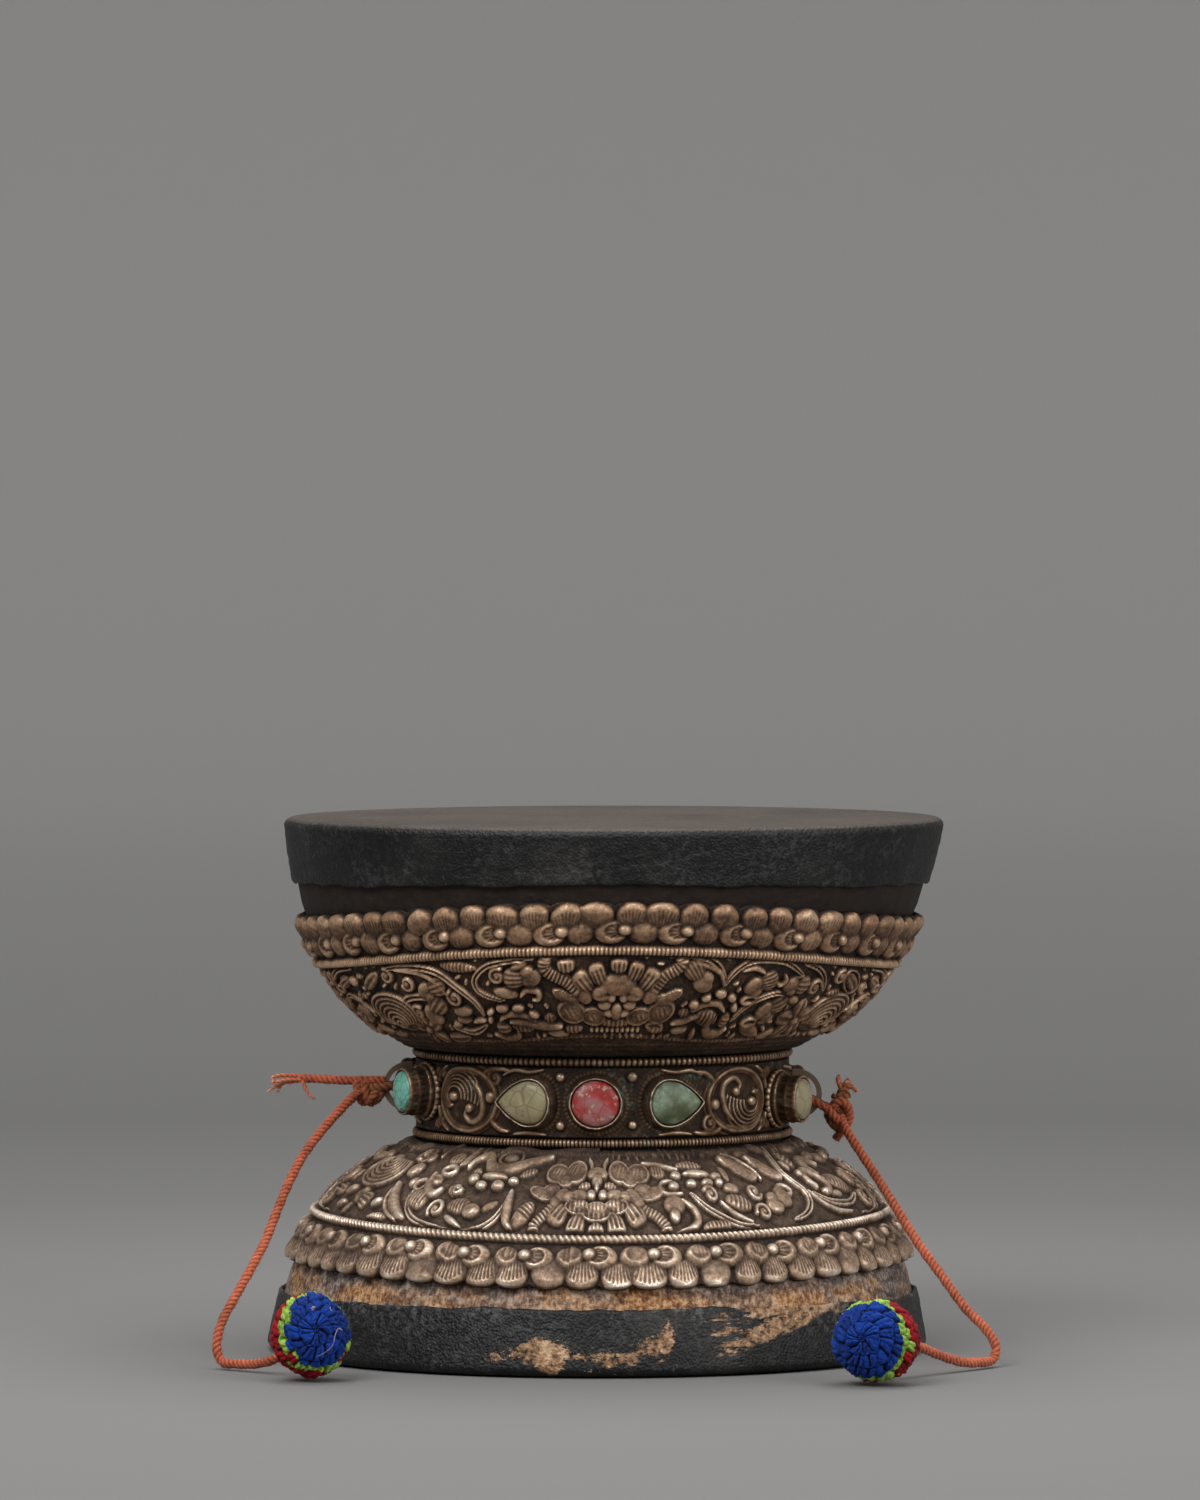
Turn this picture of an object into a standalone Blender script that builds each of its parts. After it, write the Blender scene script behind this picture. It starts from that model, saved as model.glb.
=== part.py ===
"""A damaru, a small two-headed hand drum shaped like an hourglass.

Two turned wooden bowls meet at a narrow waist. Each bowl has a skin lapped over its
rim and a raised metal cover below the skin. A belt set with stones goes round the
waist, and a striker hangs on a cord from a loop at each side.

The drum stands on its lower head. Z is up, the front faces -Y, and the origin is on
the rest face, below the middle of the waist. Lengths are in metres.
"""

import math

import bmesh
import bpy
from mathutils import Matrix, Vector

MM = 0.001

# Clearances
GAP = 0.3 * MM
MERGE = 0.001 * MM
TINY = 0.01 * MM

# Overall sizes
HEIGHT = 93.5 * MM
HEAD_DIAMETER = 116.5 * MM
WAIST_HEIGHT = 44.6 * MM

# Facets round the drum
BOWL_STEPS = 48
SMOOTH_ANGLE = math.radians(35)

# Wooden bowls
NECK_RADIUS = 31.8 * MM
NECK_HALF = 8.2 * MM
BOWL_WALL = 6.0 * MM
RIM_ROUND = 0.6 * MM
FLARE_UPPER = 11.5 * MM
FLARE_LOWER = 10.0 * MM
FLARE_SHARE = 0.87
SOUND_HOLE_RADIUS = 12.0 * MM
SPIGOT_RADIUS = 21.0 * MM
SPIGOT_HEIGHT = 4.5 * MM
LEAN_UPPER = 2.0 * MM
LEAN_LOWER = -1.0 * MM

# Skins
SKIN = 0.7 * MM
LAP_UPPER = 9.5 * MM
LAP_LOWER = 9.7 * MM
LAP_WAVE_UPPER = 0.7 * MM
LAP_WAVE_LOWER = -0.65 * MM

# Raised metal covers, and the strip of bare wood between each cover and its skin
SHEET = 0.5 * MM
COVER_START = 1.2 * MM
BARE_UPPER = 4.2 * MM
BARE_LOWER = 4.4 * MM
PETALS_UPPER = 8.0 * MM
PETALS_LOWER = 7.8 * MM
WAVE_UPPER = 2.3 * MM
WAVE_LOWER = 0.6 * MM
BORDER_WIRE_RADIUS = 0.6 * MM

# Embossing of the covers: how high its crests, its hollows and its plain field stand
CREST = 1.3 * MM
HOLLOW = 0.5 * MM
FIELD = 0.45 * MM
LOBES_UPPER = 32
LOBES_LOWER = 30
FORM_REACH = 5.2 * MM
# The field's main forms on half the drum, which the other half repeats: the azimuth of each
# in degrees, and its place between the waist at 0 and the border at 1
FORMS_UPPER = [
    (2, 0.62), (-17, 0.76), (18, 0.78), (-20, 0.42), (22, 0.42), (33, 0.74), (-39, 0.70),
    (38, 0.45), (-42, 0.42), (-56, 0.55), (57, 0.55), (72, 0.75), (78, 0.40), (-72, 0.72),
    (-80, 0.42),
]
FORMS_LOWER = [
    (-2, 0.78), (-7, 0.35), (8, 0.30), (16, 0.66), (-16, 0.74), (28, 0.66), (24, 0.30),
    (-26, 0.35), (-30, 0.78), (40, 0.70), (-42, 0.68), (40, 0.25), (-42, 0.28), (57, 0.55),
    (-59, 0.55), (72, 0.60), (-76, 0.62),
]

# Belt round the waist
BELT_WIDTH = 12.0 * MM
BELT_RISE = 0.5 * MM
BELT_THICKNESS = 1.1 * MM
BELT_WIRE_RADIUS = 0.75 * MM
BELT_STEPS = 72

# Stones on the belt
SETTING_WALL = 0.5 * MM
SETTING_HEIGHT = 1.5 * MM
STONE_DOME = 2.6 * MM
CORAL_LENGTH = 9.6 * MM
CORAL_WIDTH = 9.2 * MM
DROP_LENGTH = 10.6 * MM
DROP_WIDTH = 8.8 * MM
DROP_TAPER = 0.75
CORAL_AZIMUTH = -2.0
OLIVE_AZIMUTH = -23.5
GREEN_AZIMUTH = 21.7
STONE_STEPS = 20

# Side bosses
BOSS_AZIMUTH = 67.0
BOSS_RADIUS = 4.1 * MM
BOSS_FLANGE_RADIUS = 4.85 * MM
BOSS_FLANGE = 1.2 * MM
BOSS_HEIGHT = 4.8 * MM
BOSS_STONE_RISE = 1.2 * MM
BOSS_STEPS = 16

# The left boss, lug and knot sit higher than the right ones
LEFT_RISE = 1.3 * MM

# Lug loops
LUG_RADIUS = 4.3 * MM
LUG_THICKNESS = 0.9 * MM
LUG_WIDTH = 2.2 * MM
LUG_STEPS = 14

# Striker cords
CORD_DIAMETER = 1.7 * MM
CORD_STEP = 4.2 * MM
LEFT_KNOT_DISTANCE = 7.2 * MM
RIGHT_KNOT_DISTANCE = 8.0 * MM
KNOT_RADIUS = 2.3 * MM
EYE_HALF_LENGTH = 2.9 * MM
EYE_HALF_WIDTH = 2.7 * MM
LEFT_KNOT_DROP = 1.5
RIGHT_KNOT_DROP = 25.0
FOLD_RUN = 0.7 * MM
LEFT_FOLD = (-66.4 * MM, -40.2 * MM, 3.2 * MM)
RIGHT_FOLD = (67.9 * MM, -36.2 * MM, 3.2 * MM)

# Striker balls
BALL_WALL = 1.3 * MM
BALL_STEPS = 16
LEFT_BALL_WIDTH = 14.3 * MM
LEFT_BALL_HEIGHT = 15.2 * MM
LEFT_BALL_CENTRE = (-49.6 * MM, -61.0 * MM)
LEFT_BALL_TURN = 23.0
LEFT_BALL_LIFT = 20.0
RIGHT_BALL_WIDTH = 15.9 * MM
RIGHT_BALL_HEIGHT = 14.6 * MM
RIGHT_BALL_CENTRE = (46.3 * MM, -68.0 * MM)
RIGHT_BALL_TURN = -25.0
RIGHT_BALL_LIFT = 7.0

# Routes of the cords in millimetres, from the knot to the fold and from it to the ball
LEFT_HANGING = [
    (-44.6, -4.5, 43.6), (-48.8, -8.8, 39.2), (-52.4, -13, 34.6), (-55.0, -18, 29.6),
    (-56.8, -22, 25.2), (-58.6, -26, 20.6), (-60.7, -30, 16.6), (-63.0, -33.4, 12.5),
    (-65.2, -36.6, 8.6), (-66.2, -38.9, 5.8),
]
LEFT_LYING = [
    (-65.4, -41.2, 1.1), (-62.8, -43.4, 0.9), (-59.6, -46.0, 1.2), (-56.0, -49.4, 2.4),
]
RIGHT_HANGING = [
    (43.2, -4.6, 38.0), (47.5, -9, 31.5), (51.3, -14, 25.6), (55.2, -19, 19.5),
    (59.2, -24, 14.2), (62.8, -28.8, 9.4), (66.4, -33.6, 5.9),
]
RIGHT_LYING = [
    (67.2, -37.6, 1.1), (65.0, -40.8, 0.9), (61.6, -44.8, 1.4), (57.4, -49.4, 3.1),
    (53.8, -53.4, 4.9),
]
LEFT_TAIL = [(-45.4, 1.2, 46.6), (-49.8, 1.9, 47.1), (-54.2, 2.1, 47.1), (-58.2, 1.9, 46.9)]
RIGHT_TAIL = [(41.5, 0.3, 44.4), (42.0, 0.5, 45.8), (42.9, 0.4, 47.2)]

# Colours
DARK_WOOD = (0.07, 0.045, 0.03)
SKIN_BLACK = (0.05, 0.048, 0.045)
AGED_SILVER = (0.36, 0.30, 0.24)
BRIGHT_SILVER = (0.50, 0.45, 0.38)
BELT_BRONZE = (0.26, 0.22, 0.16)
CORAL_RED = (0.62, 0.12, 0.05)
OLIVE_STONE = (0.45, 0.42, 0.22)
GREEN_STONE = (0.16, 0.26, 0.15)
TURQUOISE = (0.14, 0.45, 0.42)
ORANGE_COTTON = (0.72, 0.20, 0.04)
BLUE_COTTON = (0.05, 0.10, 0.45)
CORE_BROWN = (0.20, 0.12, 0.06)


class Bowl:
    """One bowl of the drum. Its reach is the height from the neck's end towards the rim."""

    def __init__(self, side, depth, flare, lean, lap, bare, petals):
        self.side = side
        self.depth = depth
        self.flare = flare
        self.lean = lean
        self.rim = HEAD_DIAMETER / 2 - SKIN - GAP
        self.lap_edge = depth - lap
        self.petal_edge = self.lap_edge - bare
        self.border = self.petal_edge - petals

    def radius(self, reach):
        """Outer radius of the wood, a quick flare that ends in an even one."""
        curl = (1 - math.exp(-reach / self.flare)) / (1 - math.exp(-self.depth / self.flare))
        share = FLARE_SHARE * curl + (1 - FLARE_SHARE) * reach / self.depth
        return NECK_RADIUS + (self.rim - NECK_RADIUS) * share

    def height(self, reach):
        return WAIST_HEIGHT + self.side * (NECK_HALF + reach)

    def reach(self, height):
        return self.side * (height - WAIST_HEIGHT) - NECK_HALF

    def point(self, reach, proud=0.0):
        """A point of the turned outline, as radius and height, standing proud of the wood."""
        slope = (self.radius(reach + TINY) - self.radius(reach - TINY)) / (2 * TINY)
        length = math.hypot(1, slope)
        rise = reach - proud * slope / length
        return (self.radius(reach) + proud / length, self.height(rise))

    def corner(self, proud, steps=3):
        """The rounded edge of the rim, from the wall to the top, standing proud of it."""
        centre_reach = self.depth - RIM_ROUND
        centre_radius = self.radius(centre_reach) - RIM_ROUND
        for step in range(steps + 1):
            angle = math.pi / 2 * step / steps
            size = RIM_ROUND + proud
            rise = centre_reach + size * math.sin(angle)
            yield (centre_radius + size * math.cos(angle), self.height(rise))


UPPER = Bowl(1, HEIGHT - WAIST_HEIGHT - NECK_HALF - SKIN - GAP, FLARE_UPPER, LEAN_UPPER,
             LAP_UPPER, BARE_UPPER, PETALS_UPPER)
LOWER = Bowl(-1, WAIST_HEIGHT - NECK_HALF - SKIN - GAP, FLARE_LOWER, LEAN_LOWER,
             LAP_LOWER, BARE_LOWER, PETALS_LOWER)


def new_collection(name):
    collection = bpy.data.collections.new(name)
    bpy.context.scene.collection.children.link(collection)
    return collection


def new_material(name, colour, roughness, metallic=0.0):
    material = bpy.data.materials.new(name)
    material.use_nodes = True
    shader = material.node_tree.nodes["Principled BSDF"]
    shader.inputs["Base Color"].default_value = (*colour, 1.0)
    shader.inputs["Roughness"].default_value = roughness
    shader.inputs["Metallic"].default_value = metallic
    material.diffuse_color = (*colour, 1.0)
    return material


def new_object(name, data, material):
    piece = bpy.data.objects.new(name, data)
    data.materials.append(material)
    bpy.data.collections["damaru"].objects.link(piece)
    return piece


def azimuth_matrix(azimuth, radius, height):
    """A place on the waist whose Z points outwards and whose Y points up."""
    turn = math.radians(azimuth)
    outward = Vector((math.sin(turn), -math.cos(turn), 0))
    along = Vector((math.cos(turn), math.sin(turn), 0))
    rotation = Matrix((along, Vector((0, 0, 1)), outward)).transposed().to_4x4()
    return Matrix.Translation(outward * radius + Vector((0, 0, height))) @ rotation


def baked(piece):
    """Replaces a curve or a piece with modifiers by the welded mesh that it makes."""
    bpy.context.view_layer.update()
    evaluated = piece.evaluated_get(bpy.context.evaluated_depsgraph_get())
    mesh = bpy.data.meshes.new_from_object(evaluated)
    shape = bmesh.new()
    shape.from_mesh(mesh)
    bmesh.ops.remove_doubles(shape, verts=shape.verts, dist=MERGE)
    shape.to_mesh(mesh)
    shape.free()
    name = piece.name
    material = piece.data.materials[0]
    matrix = piece.matrix_world.copy()
    bpy.data.objects.remove(piece)
    mesh.materials.clear()
    solid = new_object(name, mesh, material)
    solid.name = name
    solid.matrix_world = matrix
    return smoothed(solid)


def smoothed(piece):
    piece.data.shade_smooth()
    piece.data.set_sharp_from_angle(angle=SMOOTH_ANGLE)
    return piece


def turned(name, outline, steps, material):
    """A solid turned about Z from an outline of radius and height, with a Screw modifier."""
    following = outline[1:] + outline[:1]
    area = sum(a[0] * b[1] - b[0] * a[1] for a, b in zip(outline, following))
    points = outline if area < 0 else outline[::-1]
    edges = [(index, index + 1) for index in range(len(points) - 1)]
    if points[0][0] > TINY or points[-1][0] > TINY:
        edges.append((len(points) - 1, 0))
    mesh = bpy.data.meshes.new(name)
    mesh.from_pydata([(radius, 0, height) for radius, height in points], edges, [])
    piece = new_object(name, mesh, material)
    screw = piece.modifiers.new("turn", "SCREW")
    screw.steps = steps
    screw.render_steps = steps
    screw.use_merge_vertices = True
    screw.merge_threshold = MERGE
    return piece


def tube(name, points, radius, material, closed=False, resolution=2):
    """A round tube along points, with filled ends unless it is closed."""
    curve = bpy.data.curves.new(name, "CURVE")
    curve.dimensions = "3D"
    curve.bevel_depth = radius
    curve.bevel_resolution = resolution
    curve.use_fill_caps = not closed
    spline = curve.splines.new("POLY")
    spline.points.add(len(points) - 1)
    spline.use_cyclic_u = closed
    for target, point in zip(spline.points, points):
        target.co = (*point, 1)
    return new_object(name, curve, material)


def flat_outline(name, loops, thickness, material):
    """A plate cut to an outline, with the holes that the further loops draw."""
    curve = bpy.data.curves.new(name, "CURVE")
    curve.dimensions = "2D"
    curve.fill_mode = "BOTH"
    curve.extrude = thickness / 2
    for loop in loops:
        spline = curve.splines.new("POLY")
        spline.points.add(len(loop) - 1)
        spline.use_cyclic_u = True
        for target, point in zip(spline.points, loop):
            target.co = (*point, 0, 1)
    return new_object(name, curve, material)


def smooth_route(points, step):
    """Evenly spaced points on a smooth curve through a route's own points."""
    ends = [2 * points[0] - points[1]] + points + [2 * points[-1] - points[-2]]
    fine = []
    for before, start, stop, after in zip(ends, ends[1:], ends[2:], ends[3:]):
        for part in range(12):
            t = part / 12
            pull = 2 * start + (stop - before) * t
            pull += (2 * before - 5 * start + 4 * stop - after) * t ** 2
            pull += (3 * start - before - 3 * stop + after) * t ** 3
            fine.append(pull / 2)
    fine.append(points[-1])
    lengths = [0.0]
    for start, stop in zip(fine, fine[1:]):
        lengths.append(lengths[-1] + (stop - start).length)
    count = max(2, round(lengths[-1] / step))
    route = []
    for index in range(count + 1):
        target = lengths[-1] * index / count
        after = next((n for n, length in enumerate(lengths) if length >= target), len(fine) - 1)
        before = max(after - 1, 0)
        span = lengths[after] - lengths[before]
        share = (target - lengths[before]) / span if span > 0 else 0
        route.append(fine[before].lerp(fine[after], share))
    return route


def metres(route):
    return [Vector(point) * MM for point in route]


def wave_at(x, y, wave):
    """A wave with two crests, one at the front and one at the back."""
    return wave * math.cos(2 * math.atan2(x, -y))


def hand_made(piece, bowl, wave=0.0, still=0.0, full=1.0):
    """Waves a turned piece along its bowl between two reaches, and leans it with the bowl."""
    piece = baked(piece)
    for vertex in piece.data.vertices:
        x, y, z = vertex.co
        reach = bowl.reach(z)
        radius = math.hypot(x, y)
        weight = min(max((reach - still) / (full - still), 0), 1)
        moved = reach + wave_at(x, y, wave) * weight
        if radius > TINY:
            spread = (radius + bowl.radius(moved) - bowl.radius(reach)) / radius
            x, y = x * spread, y * spread
        lean = bowl.lean * max(reach, 0) / bowl.depth
        vertex.co = (x + lean, y, bowl.height(moved))
    return piece


def make_shell(name, bowl, material):
    """A hollow bowl: the upper one has the socket of the waist joint, the lower one its spigot."""
    outer = [bowl.point(bowl.depth * (step / 7) ** 1.3) for step in range(7)]
    rim = list(bowl.corner(0))
    mouth = [(bowl.radius(bowl.depth) - BOWL_WALL, bowl.height(bowl.depth))]
    floor = 1.0 - (BOWL_WALL / bowl.depth)
    inner = []
    for step in range(4):
        reach = bowl.depth * floor * (1 - step / 3.2) ** 1.4
        inner.append((bowl.radius(reach) - BOWL_WALL, bowl.height(reach)))
    inner.append((SOUND_HOLE_RADIUS, bowl.height(-NECK_HALF / 4)))
    if bowl.side > 0:
        joint = [
            (SOUND_HOLE_RADIUS, WAIST_HEIGHT + SPIGOT_HEIGHT + GAP),
            (SPIGOT_RADIUS + GAP, WAIST_HEIGHT + SPIGOT_HEIGHT + GAP),
            (SPIGOT_RADIUS + GAP, WAIST_HEIGHT + GAP / 2),
            (NECK_RADIUS, WAIST_HEIGHT + GAP / 2),
        ]
    else:
        joint = [
            (SOUND_HOLE_RADIUS, WAIST_HEIGHT + SPIGOT_HEIGHT),
            (SPIGOT_RADIUS, WAIST_HEIGHT + SPIGOT_HEIGHT),
            (SPIGOT_RADIUS, WAIST_HEIGHT - GAP / 2),
            (NECK_RADIUS, WAIST_HEIGHT - GAP / 2),
        ]
    piece = turned(name, outer + rim + mouth + inner + joint, BOWL_STEPS, material)
    return hand_made(piece, bowl)


def make_head(name, bowl, wave, material):
    """A skin stretched over the rim and lapped down the outside of the bowl."""
    edge = bowl.lap_edge
    wall = bowl.depth - RIM_ROUND
    rows = [edge, (edge + wall) / 2]
    top = bowl.height(bowl.depth + GAP)
    face = bowl.height(bowl.depth + GAP + SKIN)
    inner = [bowl.point(reach, GAP) for reach in rows] + list(bowl.corner(GAP)) + [(0, top)]
    outer = [bowl.point(reach, GAP + SKIN) for reach in rows] + list(bowl.corner(GAP + SKIN))
    outer.append((0, face))
    piece = turned(name, outer[::-1] + inner, BOWL_STEPS, material)
    return hand_made(piece, bowl, wave, wall - RIM_ROUND, edge)


def swelling(azimuth, reach, bowl, forms):
    """How much a main form of the field lifts the sheet at a place, from 0 to 1."""
    azimuth = (azimuth + 90) % 180 - 90
    lift = 0.0
    for form_azimuth, share in forms:
        away = (azimuth - form_azimuth + 90) % 180 - 90
        across = math.radians(away) * bowl.radius(reach)
        along = reach - (COVER_START + share * (bowl.border - COVER_START))
        lift = max(lift, 1 - (across ** 2 + along ** 2) / FORM_REACH ** 2)
    return math.sqrt(lift)


def cover_rows(bowl, azimuth, number, forms):
    """Outline of the embossed sheet at one azimuth, from the waist to the petals' tips."""
    sheet = GAP + SHEET
    border = bowl.border
    petals = bowl.petal_edge - border
    trough = 1.1 * BORDER_WIRE_RADIUS
    odd = number % 2
    inner, outer = (HOLLOW, CREST) if odd else (CREST, HOLLOW)
    rows = [(COVER_START, sheet)]
    for share in (0.16, 0.37, 0.58, 0.79):
        reach = COVER_START + share * (border - COVER_START)
        rise = FIELD + (CREST - FIELD) * swelling(azimuth, reach, bowl, forms)
        rows.append((reach, sheet + rise))
    rows += [
        (border - trough, sheet), (border + trough, sheet),
        (border + petals * 0.38, sheet + inner), (border + petals * 0.60, sheet + HOLLOW),
        (border + petals * 0.83, sheet + outer),
        (bowl.petal_edge - (0 if odd else GAP), sheet + GAP),
    ]
    return rows


def make_cover(name, bowl, wave, lobes, forms, material):
    """The embossed sheet: main forms by the waist, then a trough and two rows of petals."""
    border = bowl.border
    edge = bowl.petal_edge
    inner = [COVER_START, border * 0.35, border * 0.65, border, (border + edge) / 2, edge]
    columns = 2 * lobes
    vertices = []
    for number in range(columns):
        azimuth = 360 * number / columns
        turn = math.radians(azimuth)
        rows = cover_rows(bowl, azimuth, number, forms)
        rows += [(reach, GAP) for reach in reversed(inner)]
        for reach, proud in rows:
            radius, height = bowl.point(reach, proud)
            vertices.append((radius * math.sin(turn), -radius * math.cos(turn), height))
    size = len(rows)
    faces = []
    for number in range(columns):
        here, there = number * size, (number + 1) % columns * size
        for row in range(size):
            after = (row + 1) % size
            faces.append((here + row, there + row, there + after, here + after))
    mesh = bpy.data.meshes.new(name)
    mesh.from_pydata(vertices, [], faces)
    if bowl.side < 0:
        mesh.flip_normals()
    return hand_made(new_object(name, mesh, material), bowl, wave, COVER_START, border)


def make_border_wire(name, bowl, wave, material):
    """The milled wire that lies in the trough between the flowers and the petals."""
    proud = 2 * GAP + SHEET + BORDER_WIRE_RADIUS
    points = []
    for step in range(BOWL_STEPS):
        turn = 2 * math.pi * step / BOWL_STEPS
        x, y = math.sin(turn), -math.cos(turn)
        reach = bowl.border + wave_at(x, y, wave)
        radius, height = bowl.point(reach, proud)
        lean = bowl.lean * reach / bowl.depth
        points.append(Vector((x * radius + lean, y * radius, height)))
    return baked(tube(name, points, BORDER_WIRE_RADIUS, material, closed=True, resolution=1))


def make_belt(material):
    low = belt_height() - BELT_WIDTH / 2
    high = belt_height() + BELT_WIDTH / 2
    inner = NECK_RADIUS + GAP
    outline = [(inner, high), (belt_face(), high), (belt_face(), low), (inner, low)]
    return smoothed(baked(turned("belt", outline, BELT_STEPS, material)))


def belt_face():
    return NECK_RADIUS + GAP + BELT_THICKNESS


def belt_height():
    return WAIST_HEIGHT + BELT_RISE


def fitting_height(side):
    """The middle height of the boss and the lug at one side."""
    return WAIST_HEIGHT + (LEFT_RISE if side < 0 else 0)


def make_belt_wire(name, side, material):
    """A milled wire soldered round one edge of the belt."""
    radius = NECK_RADIUS + GAP + BELT_WIRE_RADIUS
    height = belt_height() + side * (BELT_WIDTH / 2 + GAP + BELT_WIRE_RADIUS)
    points = []
    for step in range(BOWL_STEPS):
        turn = 2 * math.pi * step / BOWL_STEPS
        points.append(Vector((radius * math.sin(turn), -radius * math.cos(turn), height)))
    return baked(tube(name, points, BELT_WIRE_RADIUS, material, closed=True, resolution=1))


def oval(length, width, inset=0.0):
    """An oval outline, its length lying round the belt."""
    for step in range(STONE_STEPS):
        turn = 2 * math.pi * step / STONE_STEPS
        yield ((length / 2 - inset) * math.cos(turn), (width / 2 - inset) * math.sin(turn))


def drop(length, width, inset=0.0):
    """A teardrop outline whose point looks along +X."""
    turns = [2 * math.pi * step / STONE_STEPS for step in range(STONE_STEPS)]
    sides = [math.sin(turn) * math.sin(turn / 2) ** DROP_TAPER for turn in turns]
    for turn, side in zip(turns, sides):
        yield ((length / 2 - inset) * math.cos(turn), (width / 2 - inset) * side / max(sides))


def cabochon(name, outline, material):
    """A domed stone: rings of its outline that draw in towards the top."""
    shape = bmesh.new()
    rings = []
    for share in (0.0, 0.3, 0.6, 0.85):
        angle = math.pi / 2 * share
        rise = STONE_DOME * math.sin(angle)
        rings.append([shape.verts.new((x * math.cos(angle), y * math.cos(angle), rise))
                      for x, y in outline])
    top = shape.verts.new((0, 0, STONE_DOME))
    shape.faces.new(rings[0][::-1])
    for low, high in zip(rings, rings[1:]):
        for index, vertex in enumerate(low):
            after = (index + 1) % len(low)
            shape.faces.new((vertex, low[after], high[after], high[index]))
    for index, vertex in enumerate(rings[-1]):
        shape.faces.new((vertex, rings[-1][(index + 1) % len(rings[-1])], top))
    mesh = bpy.data.meshes.new(name)
    shape.to_mesh(mesh)
    shape.free()
    return smoothed(new_object(name, mesh, material))


def set_stone(name, azimuth, shape, size, point_side, stone_material, metal):
    """A stone and its raised setting on the belt's face."""
    outer = [(x * point_side, y) for x, y in shape(*size)]
    inner = [(x * point_side, y) for x, y in shape(*size, SETTING_WALL)]
    stone_line = [(x * point_side, y) for x, y in shape(*size, SETTING_WALL + GAP)]
    if point_side < 0:
        stone_line.reverse()
    seat = belt_face() + GAP
    setting = baked(flat_outline(name + "_setting", [outer, inner], SETTING_HEIGHT, metal))
    setting.matrix_world = azimuth_matrix(azimuth, seat + SETTING_HEIGHT / 2, belt_height())
    stone = cabochon(name + "_stone", stone_line, stone_material)
    stone.matrix_world = azimuth_matrix(azimuth, seat, belt_height())


def make_boss(name, azimuth, stone_material, metal):
    """A tall round cup beside the lug, with a domed stone in it."""
    bore = BOSS_RADIUS - SETTING_WALL
    cup = [
        (0, BOSS_FLANGE), (bore, BOSS_FLANGE), (bore, BOSS_HEIGHT), (BOSS_RADIUS, BOSS_HEIGHT),
        (BOSS_RADIUS, BOSS_FLANGE), (BOSS_FLANGE_RADIUS, BOSS_FLANGE * 0.6),
        (BOSS_FLANGE_RADIUS, 0), (0, 0),
    ]
    side = math.copysign(1, math.sin(math.radians(azimuth)))
    matrix = azimuth_matrix(azimuth, belt_face() + GAP, fitting_height(side))
    turned(name + "_cup", cup, BOSS_STEPS, metal).matrix_world = matrix
    size = bore - GAP
    stone = [(0, BOSS_FLANGE + GAP), (size, BOSS_FLANGE + GAP)]
    for angle in (0, 35, 65):
        turn = math.radians(angle)
        stone.append((size * math.cos(turn), BOSS_HEIGHT + BOSS_STONE_RISE * math.sin(turn)))
    stone.append((0, BOSS_HEIGHT + BOSS_STONE_RISE))
    turned(name + "_stone", stone, BOSS_STEPS, stone_material).matrix_world = matrix


def lug_centre(side):
    """The middle of the round part of a lug loop, on the belt's side."""
    reach = belt_face() + GAP + LUG_THICKNESS + TINY
    return Vector((side * reach, 0, fitting_height(side)))


def make_lug(name, side, material):
    """A flat strip bent to a D, its straight leg on the belt."""
    def ring(radius, leg):
        points = [(-leg, -radius)]
        for step in range(LUG_STEPS + 1):
            angle = math.pi * (step / LUG_STEPS - 0.5)
            points.append((radius * math.cos(angle), radius * math.sin(angle)))
        return points + [(-leg, radius)]

    loops = [ring(LUG_RADIUS, LUG_THICKNESS), ring(LUG_RADIUS - LUG_THICKNESS, TINY)]
    piece = baked(flat_outline(name, loops, LUG_WIDTH, material))
    turn = Matrix(((side, 0, 0), (0, 0, -side), (0, 1, 0))).to_4x4()
    piece.matrix_world = Matrix.Translation(lug_centre(side)) @ turn
    return piece


def knot_centre(side, knot_drop):
    angle = math.radians(knot_drop)
    distance = LEFT_KNOT_DISTANCE if side < 0 else RIGHT_KNOT_DISTANCE
    return lug_centre(side) + distance * Vector((side * math.cos(angle), 0, -math.sin(angle)))


def make_knot(name, side, knot_drop, material):
    """The eye of cord that goes round the lug's strip, tied off in a round knot."""
    centre = knot_centre(side, knot_drop)
    outward = (centre - lug_centre(side)).normalized()
    eye_centre = centre - outward * EYE_HALF_LENGTH
    points = []
    for step in range(16):
        turn = 2 * math.pi * step / 16
        along = outward * EYE_HALF_LENGTH * math.cos(turn)
        points.append(eye_centre + along + Vector((0, EYE_HALF_WIDTH * math.sin(turn), 0)))
    eye = baked(tube(name + "_eye", points, CORD_DIAMETER / 2, material, closed=True, resolution=1))
    eye.hide_render = True
    eye.display_type = "WIRE"
    bpy.data.collections["damaru"].objects.unlink(eye)
    bpy.data.collections["cutters"].objects.link(eye)
    shape = bmesh.new()
    bmesh.ops.create_uvsphere(shape, u_segments=12, v_segments=8, radius=KNOT_RADIUS)
    mesh = bpy.data.meshes.new(name)
    shape.to_mesh(mesh)
    shape.free()
    knot = new_object(name, mesh, material)
    knot.location = centre
    union = knot.modifiers.new("eye", "BOOLEAN")
    union.operation = "UNION"
    union.object = eye
    return knot


def spheroid(piece, width, height):
    """Stretches a round ball to its width and height."""
    half = width / 2
    piece.data.transform(piece.matrix_world.to_3x3().to_4x4())
    piece.matrix_world = Matrix.Translation(piece.matrix_world.translation)
    piece.data.transform(Matrix.Diagonal((1, 1, height / 2 / half, 1)))
    return piece


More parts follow.
